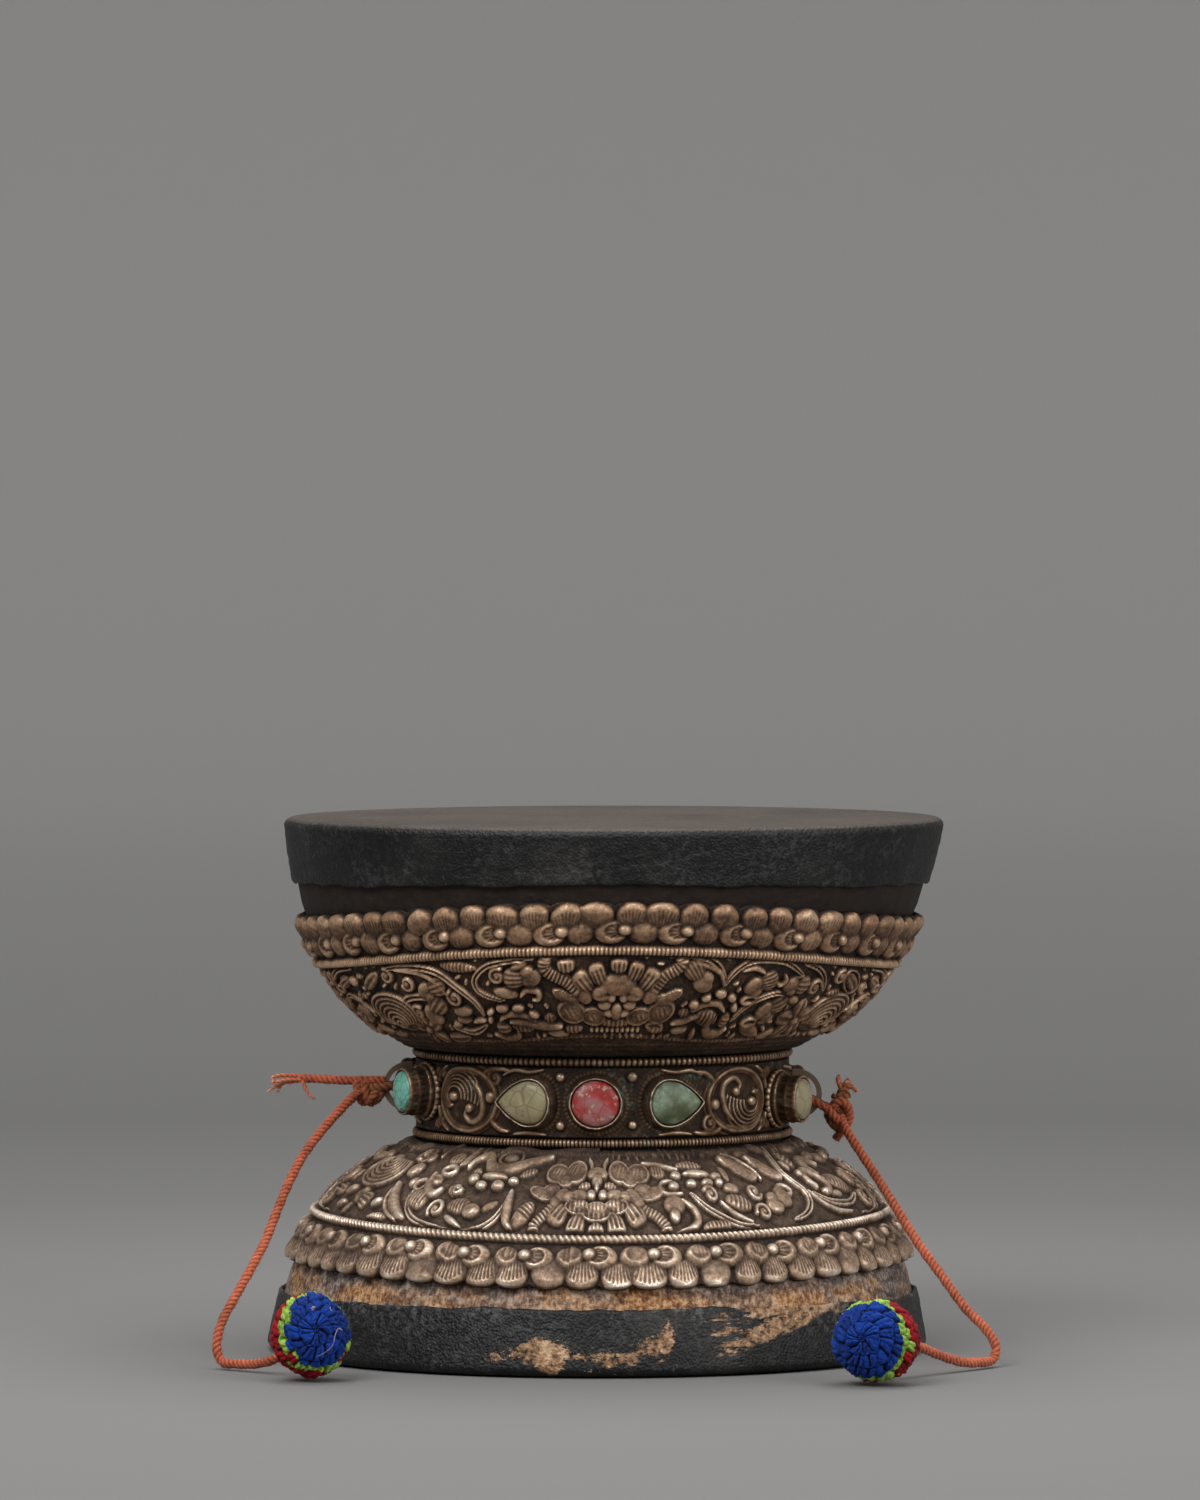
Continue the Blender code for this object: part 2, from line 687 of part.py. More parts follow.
def make_ball(name, centre, width, height, turn, lift, cover_material, core_material):
    """A crocheted cover with a hole for the cord, round a hard core."""
    turn, lift = math.radians(turn), math.radians(lift)
    pole = Vector((math.sin(turn) * math.cos(lift), -math.cos(turn) * math.cos(lift), math.sin(lift)))
    place = Matrix.Translation((*centre, height / 2)) @ pole.to_track_quat("Z", "Y").to_matrix().to_4x4()
    half = width / 2
    hole = CORD_DIAMETER / 2 + GAP
    outline = []
    for radius, order in ((half, 1), (half - BALL_WALL, -1)):
        last = math.pi - math.asin(hole / radius)
        angles = [last * step / 7 for step in range(8)]
        ring = [(radius * math.sin(angle), radius * math.cos(angle)) for angle in angles]
        outline += ring[::order]
    cover = turned(name + "_cover", outline, BALL_STEPS, cover_material)
    cover.matrix_world = place
    spheroid(baked(cover), width, height)
    shape = bmesh.new()
    inside = half - BALL_WALL - GAP
    bmesh.ops.create_uvsphere(shape, u_segments=12, v_segments=8, radius=inside)
    mesh = bpy.data.meshes.new(name)
    shape.to_mesh(mesh)
    shape.free()
    core = smoothed(new_object(name + "_core", mesh, core_material))
    core.matrix_world = place
    spheroid(core, width, height)
    entry = Vector((pole.x, pole.y, pole.z * height / width))
    middle = Vector((*centre, height / 2))
    return [middle - entry * (half + CORD_DIAMETER * 1.5), middle - entry * (inside + 2 * GAP)]


def make_cord(side_name, side, knot_drop, hanging, fold, lying, ball_entry, material):
    """The cord in two stretches that meet at its fold: down from the knot, and on to the ball."""
    knot = knot_centre(side, knot_drop)
    hanging = metres(hanging)
    fold = Vector(fold)
    face = Vector((0, 0, GAP / 2))
    run = Vector((0, 0, FOLD_RUN))
    start = knot + (hanging[0] - knot).normalized() * (KNOT_RADIUS + GAP)
    route = smooth_route([start] + hanging + [fold + face + run], CORD_STEP)
    tube(side_name + "_cord_hanging", route + [fold + face], CORD_DIAMETER / 2, material)
    route = smooth_route([fold - face - run] + metres(lying) + ball_entry, CORD_STEP)
    tube(side_name + "_cord_lying", [fold - face] + route, CORD_DIAMETER / 2, material)


def make_tail(name, side, knot_drop, tail, material):
    """The cord's free end beyond the knot."""
    tail = metres(tail)
    knot = knot_centre(side, knot_drop)
    start = knot + (tail[0] - knot).normalized() * (KNOT_RADIUS + GAP)
    tube(name, smooth_route([start] + tail, CORD_STEP), CORD_DIAMETER / 2, material)


def build_bowls():
    wood = new_material("dark_wood", DARK_WOOD, 0.55)
    skin = new_material("black_skin", SKIN_BLACK, 0.6)
    upper_metal = new_material("aged_silver", AGED_SILVER, 0.42, 0.9)
    lower_metal = new_material("bright_silver", BRIGHT_SILVER, 0.38, 0.9)
    make_shell("upper_shell", UPPER, wood)
    make_shell("lower_shell", LOWER, wood)
    make_head("upper_head", UPPER, LAP_WAVE_UPPER, skin)
    make_head("lower_head", LOWER, LAP_WAVE_LOWER, skin)
    make_cover("upper_cover", UPPER, WAVE_UPPER, LOBES_UPPER, FORMS_UPPER, upper_metal)
    make_cover("lower_cover", LOWER, WAVE_LOWER, LOBES_LOWER, FORMS_LOWER, lower_metal)
    make_border_wire("upper_border_wire", UPPER, WAVE_UPPER, upper_metal)
    make_border_wire("lower_border_wire", LOWER, WAVE_LOWER, lower_metal)


def build_belt():
    metal = new_material("belt_bronze", BELT_BRONZE, 0.45, 0.85)
    coral = new_material("coral", CORAL_RED, 0.35)
    olive = new_material("olive_stone", OLIVE_STONE, 0.3)
    green = new_material("green_stone", GREEN_STONE, 0.3)
    turquoise = new_material("turquoise", TURQUOISE, 0.35)
    make_belt(metal)
    make_belt_wire("belt_upper_wire", 1, metal)
    make_belt_wire("belt_lower_wire", -1, metal)
    for place, middle in (("front", 0.0), ("back", 180.0)):
        coral_size = (CORAL_LENGTH, CORAL_WIDTH)
        drop_size = (DROP_LENGTH, DROP_WIDTH)
        set_stone(place + "_coral", middle + CORAL_AZIMUTH, oval, coral_size, 1, coral, metal)
        set_stone(place + "_olive", middle + OLIVE_AZIMUTH, drop, drop_size, -1, olive, metal)
        set_stone(place + "_green", middle + GREEN_AZIMUTH, drop, drop_size, 1, green, metal)
    make_boss("front_left_boss", -BOSS_AZIMUTH, turquoise, metal)
    make_boss("front_right_boss", BOSS_AZIMUTH, olive, metal)
    make_boss("back_left_boss", BOSS_AZIMUTH - 180, olive, metal)
    make_boss("back_right_boss", 180 - BOSS_AZIMUTH, turquoise, metal)
    make_lug("left_lug", -1, metal)
    make_lug("right_lug", 1, metal)


def build_strikers():
    cotton = new_material("orange_cotton", ORANGE_COTTON, 0.9)
    cover = new_material("blue_cotton", BLUE_COTTON, 0.9)
    core = new_material("core_brown", CORE_BROWN, 0.8)
    make_knot("left_knot", -1, LEFT_KNOT_DROP, cotton)
    make_knot("right_knot", 1, RIGHT_KNOT_DROP, cotton)
    make_tail("left_knot_tail", -1, LEFT_KNOT_DROP, LEFT_TAIL, cotton)
    make_tail("right_knot_tail", 1, RIGHT_KNOT_DROP, RIGHT_TAIL, cotton)
    entry = make_ball("left_ball", LEFT_BALL_CENTRE, LEFT_BALL_WIDTH, LEFT_BALL_HEIGHT,
                      LEFT_BALL_TURN, LEFT_BALL_LIFT, cover, core)
    make_cord("left", -1, LEFT_KNOT_DROP, LEFT_HANGING, LEFT_FOLD, LEFT_LYING, entry, cotton)
    entry = make_ball("right_ball", RIGHT_BALL_CENTRE, RIGHT_BALL_WIDTH, RIGHT_BALL_HEIGHT,
                      RIGHT_BALL_TURN, RIGHT_BALL_LIFT, cover, core)
    make_cord("right", 1, RIGHT_KNOT_DROP, RIGHT_HANGING, RIGHT_FOLD, RIGHT_LYING, entry, cotton)


def main():
    for piece in list(bpy.data.objects):
        bpy.data.objects.remove(piece)
    new_collection("damaru")
    new_collection("cutters")
    build_bowls()
    build_belt()
    build_strikers()


main()
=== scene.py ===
"""The looks of the damaru: embossed covers, skins, belt, stones, cords and crocheted balls.

Lengths are in millimetres unless a name or a comment says otherwise, and MM turns them
into the frame's metres. Azimuth is 0 at the front and grows towards the right.
"""

import math
import random

import bmesh
import bpy
import numpy as np
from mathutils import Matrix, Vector


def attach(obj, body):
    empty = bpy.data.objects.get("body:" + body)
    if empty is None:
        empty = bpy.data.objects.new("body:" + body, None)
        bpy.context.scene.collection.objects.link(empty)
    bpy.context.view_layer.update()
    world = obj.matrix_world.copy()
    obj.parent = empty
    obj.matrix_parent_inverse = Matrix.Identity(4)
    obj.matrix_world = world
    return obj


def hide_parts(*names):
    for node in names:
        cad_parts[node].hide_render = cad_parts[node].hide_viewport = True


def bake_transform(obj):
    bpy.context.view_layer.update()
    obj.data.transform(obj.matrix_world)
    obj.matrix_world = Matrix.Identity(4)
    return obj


MM = 0.001
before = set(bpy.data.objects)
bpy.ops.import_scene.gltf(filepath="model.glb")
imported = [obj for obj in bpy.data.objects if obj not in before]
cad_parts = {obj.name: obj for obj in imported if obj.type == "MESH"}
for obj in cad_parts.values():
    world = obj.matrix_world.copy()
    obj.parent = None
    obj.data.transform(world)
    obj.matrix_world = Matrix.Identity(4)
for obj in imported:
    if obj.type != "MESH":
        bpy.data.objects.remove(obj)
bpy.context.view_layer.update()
chance = random.Random(11)

# The drum, as the frame's solids have it
HEIGHT = 93.5
HEAD_RADIUS = 58.25
WAIST = 44.6
NECK_RADIUS = 31.8
NECK_HALF = 8.2
SKIN = 0.7
GAP = 0.3
FLARE_SHARE = 0.87
RIM_ROUND = 0.6
COVER_STARTS = {"upper": 1.2, "lower": 0.3}
SHEET = 0.5
BELT_FACE = 33.2
BELT_WIDTH = 12.0
BELT_HEIGHT = 45.1
BELT_WIRE_RADIUS = 0.75
CORD_DIAMETER = 1.7


class Bowl:
    """One bowl of the drum. Its reach is the height from the neck's end towards the rim."""

    def __init__(self, name, side, depth, flare, lean, wave, lap, lap_wave, bare, petals):
        self.name = name
        self.side = side
        self.depth = depth
        self.flare = flare
        self.lean = lean
        self.wave = wave
        self.lap_edge = depth - lap
        self.lap_wave = lap_wave
        self.petal_edge = self.lap_edge - bare
        self.border = self.petal_edge - petals
        self.rim = HEAD_RADIUS - SKIN - GAP

    def radius(self, reach):
        curl = (1 - np.exp(-reach / self.flare)) / (1 - math.exp(-self.depth / self.flare))
        share = FLARE_SHARE * curl + (1 - FLARE_SHARE) * reach / self.depth
        return NECK_RADIUS + (self.rim - NECK_RADIUS) * share

    def height(self, reach):
        return WAIST + self.side * (NECK_HALF + reach)

    def slope(self, reach):
        step = 0.01
        return (self.radius(reach + step) - self.radius(reach - step)) / (2 * step)

    def point(self, reach, proud):
        """Radius and height of the turned outline, standing proud of the wood."""
        slope = self.slope(reach)
        length = np.hypot(1, slope)
        return self.radius(reach) + proud / length, self.height(reach - proud * slope / length)

    def place(self, turn, reach, proud):
        """Points in metres for arrays of azimuth, reach and height above the wood."""
        radius, height = self.point(reach, proud)
        x = radius * np.sin(turn) + self.lean * np.maximum(reach, 0) / self.depth
        return np.stack([x, -radius * np.cos(turn), height], axis=-1) * MM


UPPER = Bowl("upper", 1, HEIGHT - WAIST - NECK_HALF - SKIN - GAP, 11.5, 2.0, 2.3, 9.5, 0.7, 4.2, 8.0)
LOWER = Bowl("lower", -1, WAIST - NECK_HALF - SKIN - GAP, 10.0, -1.0, 0.6, 9.7, -0.65, 4.4, 7.8)


class Solid:
    """Gathers closed grids of points into one mesh, with one number a point in relief."""

    def __init__(self):
        self.points = []
        self.values = []
        self.bands = []
        self.faces = []
        self.count = 0

    def grid(self, points, values=0.5, bands=0.0, close_rows=False, close_columns=False):
        """Adds a grid of points in metres. Its open ends are closed with flat faces."""
        rows, columns = points.shape[:2]
        index = self.count + np.arange(rows * columns).reshape(rows, columns)
        caps = []
        if close_columns and not close_rows:
            caps = [index[0], index[-1]]
        elif close_rows and not close_columns:
            caps = [index[:, 0], index[:, -1]]
        if close_rows:
            index = np.vstack([index, index[:1]])
        if close_columns:
            index = np.hstack([index, index[:, :1]])
        quads = np.stack([index[:-1, :-1], index[1:, :-1], index[1:, 1:], index[:-1, 1:]], axis=-1)
        self.faces += quads.reshape(-1, 4).tolist()
        self.faces += [cap.tolist() for cap in caps]
        self.points.append(points.reshape(-1, 3))
        self.values.append(np.broadcast_to(values, (rows, columns)).reshape(-1))
        self.bands.append(np.broadcast_to(bands, (rows, columns)).reshape(-1))
        self.count += rows * columns

    def piece(self, name, material, body="drum", slot=None, replaces=()):
        """Makes the piece, rides it on its body and lets it stand for the nodes it replaces."""
        mesh = bpy.data.meshes.new(name)
        mesh.from_pydata(np.concatenate(self.points).tolist(), [], self.faces)
        shape = bmesh.new()
        shape.from_mesh(mesh)
        bmesh.ops.recalc_face_normals(shape, faces=shape.faces)
        for face in shape.faces:
            face.smooth = True
            if len(face.verts) > 4:
                for edge in face.edges:
                    edge.smooth = False
        shape.to_mesh(mesh)
        shape.free()
        for key, parts in (("relief", self.values), ("band", self.bands)):
            layer = mesh.attributes.new(key, "FLOAT", "POINT")
            layer.data.foreach_set("value", np.concatenate(parts).astype(np.float32))
        mesh.materials.append(MATERIALS[material])
        piece = bpy.data.objects.new(name, mesh)
        bpy.context.scene.collection.objects.link(piece)
        if body:
            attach(piece, body)
        if replaces:
            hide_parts(*replaces)
        return piece


def steady(number, salt=0.0):
    """A number from 0 to 1 that is always the same for the same whole number."""
    return np.mod(np.sin(number * 12.9898 + salt * 78.233) * 43758.5453, 1.0)


def ripple(x, y):
    """A smooth unevenness between -1 and 1 over a surface."""
    first = np.sin(0.9 * x + 1.7 * np.sin(0.31 * y)) * np.sin(1.1 * y + 1.3 * np.sin(0.27 * x))
    second = np.sin(2.3 * x - 1.1 * y + 2 * np.sin(0.5 * x)) * np.sin(1.9 * y + 0.8 * x)
    return 0.6 * first + 0.4 * second


# Materials


class Nodes:
    """A short way to build a node material."""

    def __init__(self, name):
        self.material = bpy.data.materials.new(name)
        self.material.use_nodes = True
        self.tree = self.material.node_tree
        self.shader = self.tree.nodes["Principled BSDF"]

    def add(self, kind, inputs=None, **settings):
        node = self.tree.nodes.new(kind)
        for key, value in settings.items():
            setattr(node, key, value)
        for key, value in (inputs or {}).items():
            self.feed(node.inputs[key], value)
        return node

    def feed(self, socket, value):
        if isinstance(value, bpy.types.NodeSocket):
            self.tree.links.new(value, socket)
        else:
            socket.default_value = value

    def attribute(self, name):
        return self.add("ShaderNodeAttribute", attribute_name=name).outputs["Fac"]

    def coordinates(self):
        return self.add("ShaderNodeTexCoord").outputs["Object"]

    def axes(self):
        split = self.add("ShaderNodeSeparateXYZ", {"Vector": self.coordinates()})
        return split.outputs["X"], split.outputs["Y"], split.outputs["Z"]

    def noise(self, scale, detail=4.0, roughness=0.55, stretch=None):
        vector = self.coordinates()
        if stretch:
            vector = self.add("ShaderNodeMapping", {"Vector": vector, "Scale": stretch}).outputs[0]
        settings = {"Scale": scale, "Detail": detail, "Roughness": roughness, "Vector": vector}
        return self.add("ShaderNodeTexNoise", settings).outputs["Fac"]

    def cells(self, scale, feature="F1"):
        settings = {"Scale": scale, "Vector": self.coordinates()}
        return self.add("ShaderNodeTexVoronoi", settings, feature=feature).outputs["Distance"]

    def ramp(self, factor, stops, interpolation="LINEAR"):
        node = self.add("ShaderNodeValToRGB", {"Fac": factor})
        node.color_ramp.interpolation = interpolation
        elements = node.color_ramp.elements
        while len(elements) < len(stops):
            elements.new(0.5)
        for element, (place, colour) in zip(elements, stops):
            element.position = place
            element.color = (*colour, 1.0)
        return node.outputs["Color"]

    def mix(self, factor, first, second, blend="MIX"):
        node = self.add("ShaderNodeMix", data_type="RGBA", blend_type=blend)
        self.feed(node.inputs[0], factor)
        self.feed(node.inputs[6], (*first, 1.0) if isinstance(first, tuple) else first)
        self.feed(node.inputs[7], (*second, 1.0) if isinstance(second, tuple) else second)
        return node.outputs[2]

    def math(self, operation, first, second=0.0, clamp=False):
        node = self.add("ShaderNodeMath", operation=operation, use_clamp=clamp)
        self.feed(node.inputs[0], first)
        self.feed(node.inputs[1], second)
        return node.outputs[0]

    def span(self, value, low, high, out_low=0.0, out_high=1.0):
        node = self.add("ShaderNodeMapRange", clamp=True)
        for key, number in zip((0, 1, 2, 3, 4), (value, low, high, out_low, out_high)):
            self.feed(node.inputs[key], number)
        return node.outputs[0]

    def bump(self, height, strength, distance=0.0002):
        node = self.add("ShaderNodeBump", {"Strength": strength, "Distance": distance})
        self.feed(node.inputs["Height"], height)
        return node.outputs["Normal"]

    def set(self, **inputs):
        names = {"colour": "Base Color", "roughness": "Roughness", "metallic": "Metallic",
                 "normal": "Normal", "coat": "Coat Weight", "sheen": "Sheen Weight",
                 "specular": "Specular IOR Level"}
        for key, value in inputs.items():
            self.feed(self.shader.inputs[names[key]], (*value, 1.0) if isinstance(value, tuple) else value)
        return self.material


def relief_metal(name, stops, shine, metal):
    """Aged embossed metal: grimy and darkened with painted shade in the hollows, rubbed bright and given a painted
    highlight on the crests.
    """
    n = Nodes(name)
    grime = n.noise(330.0, 6.0, 0.65)
    patches = n.noise(55.0, 4.0, 0.6)
    # The relief look holds painted highlight on the crests and painted shade in the hollows; grime, specks and patches
    # are added to it.
    worn = n.math("ADD", n.attribute("relief"), n.span(grime, 0.3, 0.7, -0.13, 0.13))
    specks = n.noise(1400.0, 3.0, 0.7)
    worn = n.math("ADD", worn, n.span(specks, 0.35, 0.65, -0.08, 0.10))
    worn = n.math("ADD", worn, n.span(patches, 0.3, 0.7, -0.12, 0.12), clamp=True)
    colour = n.ramp(worn, stops)
    scuffs = n.noise(900.0, 3.0, 0.7)
    colour = n.mix(n.span(scuffs, 0.58, 0.72, 0.0, 0.35), colour, (0.10, 0.055, 0.034))
    return n.set(colour=colour, roughness=n.span(worn, 0.2, 0.95, 0.78, shine), specular=0.3,
                 metallic=n.span(worn, 0.3, 0.75, 0.05, metal), normal=n.bump(n.math("ADD", grime, specks), 0.5))


def belt_metal(name, stops, shine=0.38):
    """Dark bronze with green verdigris, rubbed crests with a painted highlight and painted shade in the hollows."""
    n = Nodes(name)
    fine = n.noise(420.0, 6.0, 0.65)
    spots = n.noise(230.0, 3.0, 0.55)
    # The relief look holds painted highlight on raised places and painted shade in the hollows, besides the rubbed
    # wear.
    worn = n.math("ADD", n.attribute("relief"), n.span(fine, 0.3, 0.7, -0.16, 0.16), clamp=True)
    metal = n.ramp(worn, stops)
    green = n.span(spots, 0.61, 0.66, 0.0, 0.65)
    green = n.math("MULTIPLY", green, n.span(fine, 0.45, 0.6, 0.0, 1.0))
    colour = n.mix(green, metal, (0.12, 0.23, 0.17))
    return n.set(colour=colour, roughness=n.span(worn, 0.1, 0.9, 0.75, shine), specular=0.3,
                 metallic=n.span(worn, 0.2, 0.7, 0.1, 0.65), normal=n.bump(fine, 0.5))


def wood_material():
    """The bare strips of the bowls: nearly black above, soiled and worn to tan below."""
    n = Nodes("dark_wood")
    x, y, z = n.axes()
    broad = n.noise(120.0, 8.0, 0.7, stretch=(1.0, 1.0, 4.5))
    short = n.noise(560.0, 6.0, 0.8, stretch=(1.0, 1.0, 1.4))
    grain = n.math("ADD", n.math("MULTIPLY", broad, 0.42), n.math("MULTIPLY", short, 0.58))
    patch = n.noise(60.0, 9.0, 0.72, stretch=(1.0, 1.0, 1.8))
    speckle = n.noise(1300.0, 4.0, 0.75, stretch=(1.0, 1.0, 0.55))
    dark = n.ramp(grain, [(0.35, (0.006, 0.005, 0.004)), (0.60, (0.030, 0.019, 0.013)),
                          (0.75, (0.11, 0.070, 0.045))])
    lower = n.span(z, 0.025, 0.035, 1.0, 0.0)
    worn = n.math("ADD", n.span(patch, 0.44, 0.58), n.span(x, -0.035, 0.02, -0.10, 0.16))
    worn = n.math("ADD", worn, n.span(x, 0.036, 0.046, 0.0, -0.6))
    worn = n.math("ADD", worn, n.span(z, 0.0125, 0.0155, 0.30, -0.25), clamp=True)
    sharp = n.math("ADD", n.math("MULTIPLY", grain, 0.6), n.math("MULTIPLY", speckle, 0.4))
    soiled = n.ramp(sharp, [(0.43, (0.045, 0.033, 0.028)), (0.50, (0.15, 0.115, 0.10)),
                            (0.57, (0.38, 0.31, 0.27))])
    tan = n.ramp(sharp, [(0.42, (0.085, 0.030, 0.012)), (0.48, (0.26, 0.115, 0.045)),
                         (0.53, (0.50, 0.28, 0.13)), (0.60, (0.72, 0.50, 0.31))])
    tan = n.mix(worn, soiled, tan)
    colour = n.mix(lower, dark, tan)
    return n.set(colour=colour, roughness=n.span(grain, 0.3, 0.7, 0.6, 0.8), specular=0.25,
                 normal=n.bump(grain, 0.6, 0.0003))


def skin_material(name, patches):
    """Black pebbled skin, browner on the top, worn through to tan where patches say so."""
    n = Nodes(name)
    x, y, z = n.axes()
    pebbles = n.cells(2300.0, "SMOOTH_F1")
    fine = n.noise(850.0, 5.0, 0.65)
    broad = n.noise(48.0, 6.0, 0.62)
    base = n.ramp(broad, [(0.32, (0.003, 0.0032, 0.0035)), (0.55, (0.008, 0.008, 0.008)),
                          (0.72, (0.028, 0.025, 0.023))])
    top = n.span(z, 0.0929, 0.0932)
    base = n.mix(top, base, n.ramp(broad, [(0.3, (0.035, 0.026, 0.020)), (0.7, (0.075, 0.056, 0.043))]))
    rubbed = n.noise(110.0, 6.0, 0.7)
    grey = n.math("MULTIPLY", n.span(fine, 0.46, 0.64), n.span(rubbed, 0.45, 0.62, 0.06, 0.42))
    base = n.mix(grey, base, (0.085, 0.085, 0.085))
    if patches:
        chalky = n.math("MULTIPLY", n.span(fine, 0.48, 0.58), n.span(z, 0.0055, 0.0115, 0.0, 0.55))
        base = n.mix(n.math("MULTIPLY", chalky, n.span(rubbed, 0.46, 0.60)), base, (0.135, 0.138, 0.140))
    scratches = n.noise(520.0, 3.0, 0.8, stretch=(1.0, 1.0, 0.2))
    base = n.mix(n.span(scratches, 0.68, 0.75, 0.0, 0.5), base, (0.15, 0.13, 0.115))
    if patches:
        front = n.span(y, -0.03, -0.045)
        right = n.math("MULTIPLY", n.span(x, 0.012, 0.020), n.span(x, 0.042, 0.039))
        edge = n.math("ADD", z, n.span(x, 0.022, 0.039, 0.0024, -0.0012))
        edge = n.math("ADD", edge, n.span(broad, 0.35, 0.65, -0.0018, 0.0018))
        streaks = n.noise(190.0, 8.0, 0.75, stretch=(0.7, 0.7, 3.6))
        torn = n.span(n.math("ADD", streaks, n.span(x, 0.016, 0.030, -0.11, 0.14)), 0.51, 0.535)
        mask = n.math("MULTIPLY", n.math("MULTIPLY", front, right), n.span(edge, 0.0072, 0.0078))
        mask = n.math("MULTIPLY", mask, torn)
        spread = n.math("MULTIPLY", n.span(x, -0.021, -0.011, 0.0, 0.0021), n.span(x, 0.0130, 0.0112))
        parted = n.math("MAXIMUM", n.span(x, -0.0055, -0.0075), n.span(x, -0.0045, -0.0015))
        spread = n.math("MULTIPLY", spread, n.math("ADD", parted, 0.15))
        away = n.math("ABSOLUTE", n.math("SUBTRACT", z, n.span(x, 0.005, 0.0115, 0.0036, 0.0062)))
        spread = n.math("ADD", spread, n.span(n.noise(210.0, 9.0, 0.8, stretch=(0.7, 0.7, 1.3)), 0.3, 0.7, -0.0042, 0.0030))
        low = n.math("MULTIPLY", n.span(n.math("SUBTRACT", spread, away), 0.0, 0.0003), front)
        low = n.math("MULTIPLY", low, n.math("MULTIPLY", n.span(x, -0.022, -0.020), n.span(x, 0.0135, 0.0130)))
        mask = n.math("MAXIMUM", mask, low)
        worn = n.math("ADD", n.math("MULTIPLY", fine, 0.6), n.math("MULTIPLY", rubbed, 0.4))
        tan = n.ramp(worn, [(0.40, (0.060, 0.028, 0.014)), (0.50, (0.27, 0.15, 0.075)),
                            (0.60, (0.56, 0.37, 0.23))])
        base = n.mix(n.math("MULTIPLY", mask, n.span(fine, 0.36, 0.44, 0.25, 1.0)), base, tan)
    grain = n.math("ADD", pebbles, n.math("MULTIPLY", fine, 0.8))
    return n.set(colour=base, roughness=n.span(fine, 0.3, 0.7, 0.40, 0.62), specular=0.3,
                 normal=n.bump(grain, 0.8, 0.00026))


def stone_material(name, stops, scale, speckle=None, cracks=None):
    """A polished stone, mottled, with specks and cracks where it has them."""
    n = Nodes(name)
    mottle = n.noise(scale, 6.0, 0.6)
    colour = n.ramp(mottle, stops)
    if speckle:
        place, tint = speckle
        colour = n.mix(n.span(n.noise(scale * 3.6, 4.0, 0.6), place, place + 0.05, 0.0, 0.85), colour, tint)
    if cracks:
        lines = n.cells(scale * 2.0, "DISTANCE_TO_EDGE")
        colour = n.mix(n.span(lines, 0.0, 0.05, 0.75, 0.0), colour, cracks)
    return n.set(colour=colour, roughness=0.42, coat=0.06, specular=0.4, normal=n.bump(mottle, 0.3))


def cotton_material(name, stops, soiled):
    """Cotton yarn: matt and fuzzy, darker in its grooves with painted shade, and brown with dirt in places."""
    n = Nodes(name)
    fuzz = n.noise(1700.0, 4.0, 0.75)
    patch = n.noise(150.0, 4.0, 0.6)
    tone = n.math("ADD", n.attribute("relief"), n.span(fuzz, 0.3, 0.7, -0.18, 0.18))
    tone = n.math("ADD", tone, n.span(patch, 0.35, 0.7, 0.05, -0.16), clamp=True)
    dirt = n.math("ADD", n.attribute("band"), n.span(patch, 0.42, 0.68, -0.1, 0.4), clamp=True)
    colour = n.mix(dirt, n.ramp(tone, stops), n.ramp(tone, soiled))
    return n.set(colour=colour, roughness=0.92, sheen=0.15, specular=0.25, normal=n.bump(fuzz, 0.5))


def ball_material():
    """Crocheted cotton in three colours: a blue cap, a lime round and a red base."""
    n = Nodes("ball_cotton")
    fuzz = n.noise(1700.0, 4.0, 0.75)
    band = n.attribute("band")
    tint = [(0.0, (0.005, 0.048, 0.33)), (0.34, (0.37, 0.61, 0.10)), (0.67, (0.40, 0.006, 0.012)),
            (0.97, (0.62, 0.46, 0.44))]
    # Darker copies of each yarn colour, mixed in as painted shade where the stitches sink.
    shade = [(0.0, (0.001, 0.006, 0.055)), (0.34, (0.10, 0.20, 0.02)), (0.67, (0.10, 0.002, 0.004)),
             (0.97, (0.40, 0.28, 0.27))]
    tone = n.math("ADD", n.attribute("relief"), n.span(fuzz, 0.3, 0.7, -0.3, 0.3), clamp=True)
    colour = n.mix(n.span(tone, 0.15, 0.75), n.ramp(band, shade, "CONSTANT"),
                   n.ramp(band, tint, "CONSTANT"))
    return n.set(colour=colour, roughness=0.95, sheen=0.06, specular=0.15,
                 normal=n.bump(n.math("ADD", fuzz, n.noise(700.0, 4.0, 0.7)), 0.9, 0.0004))


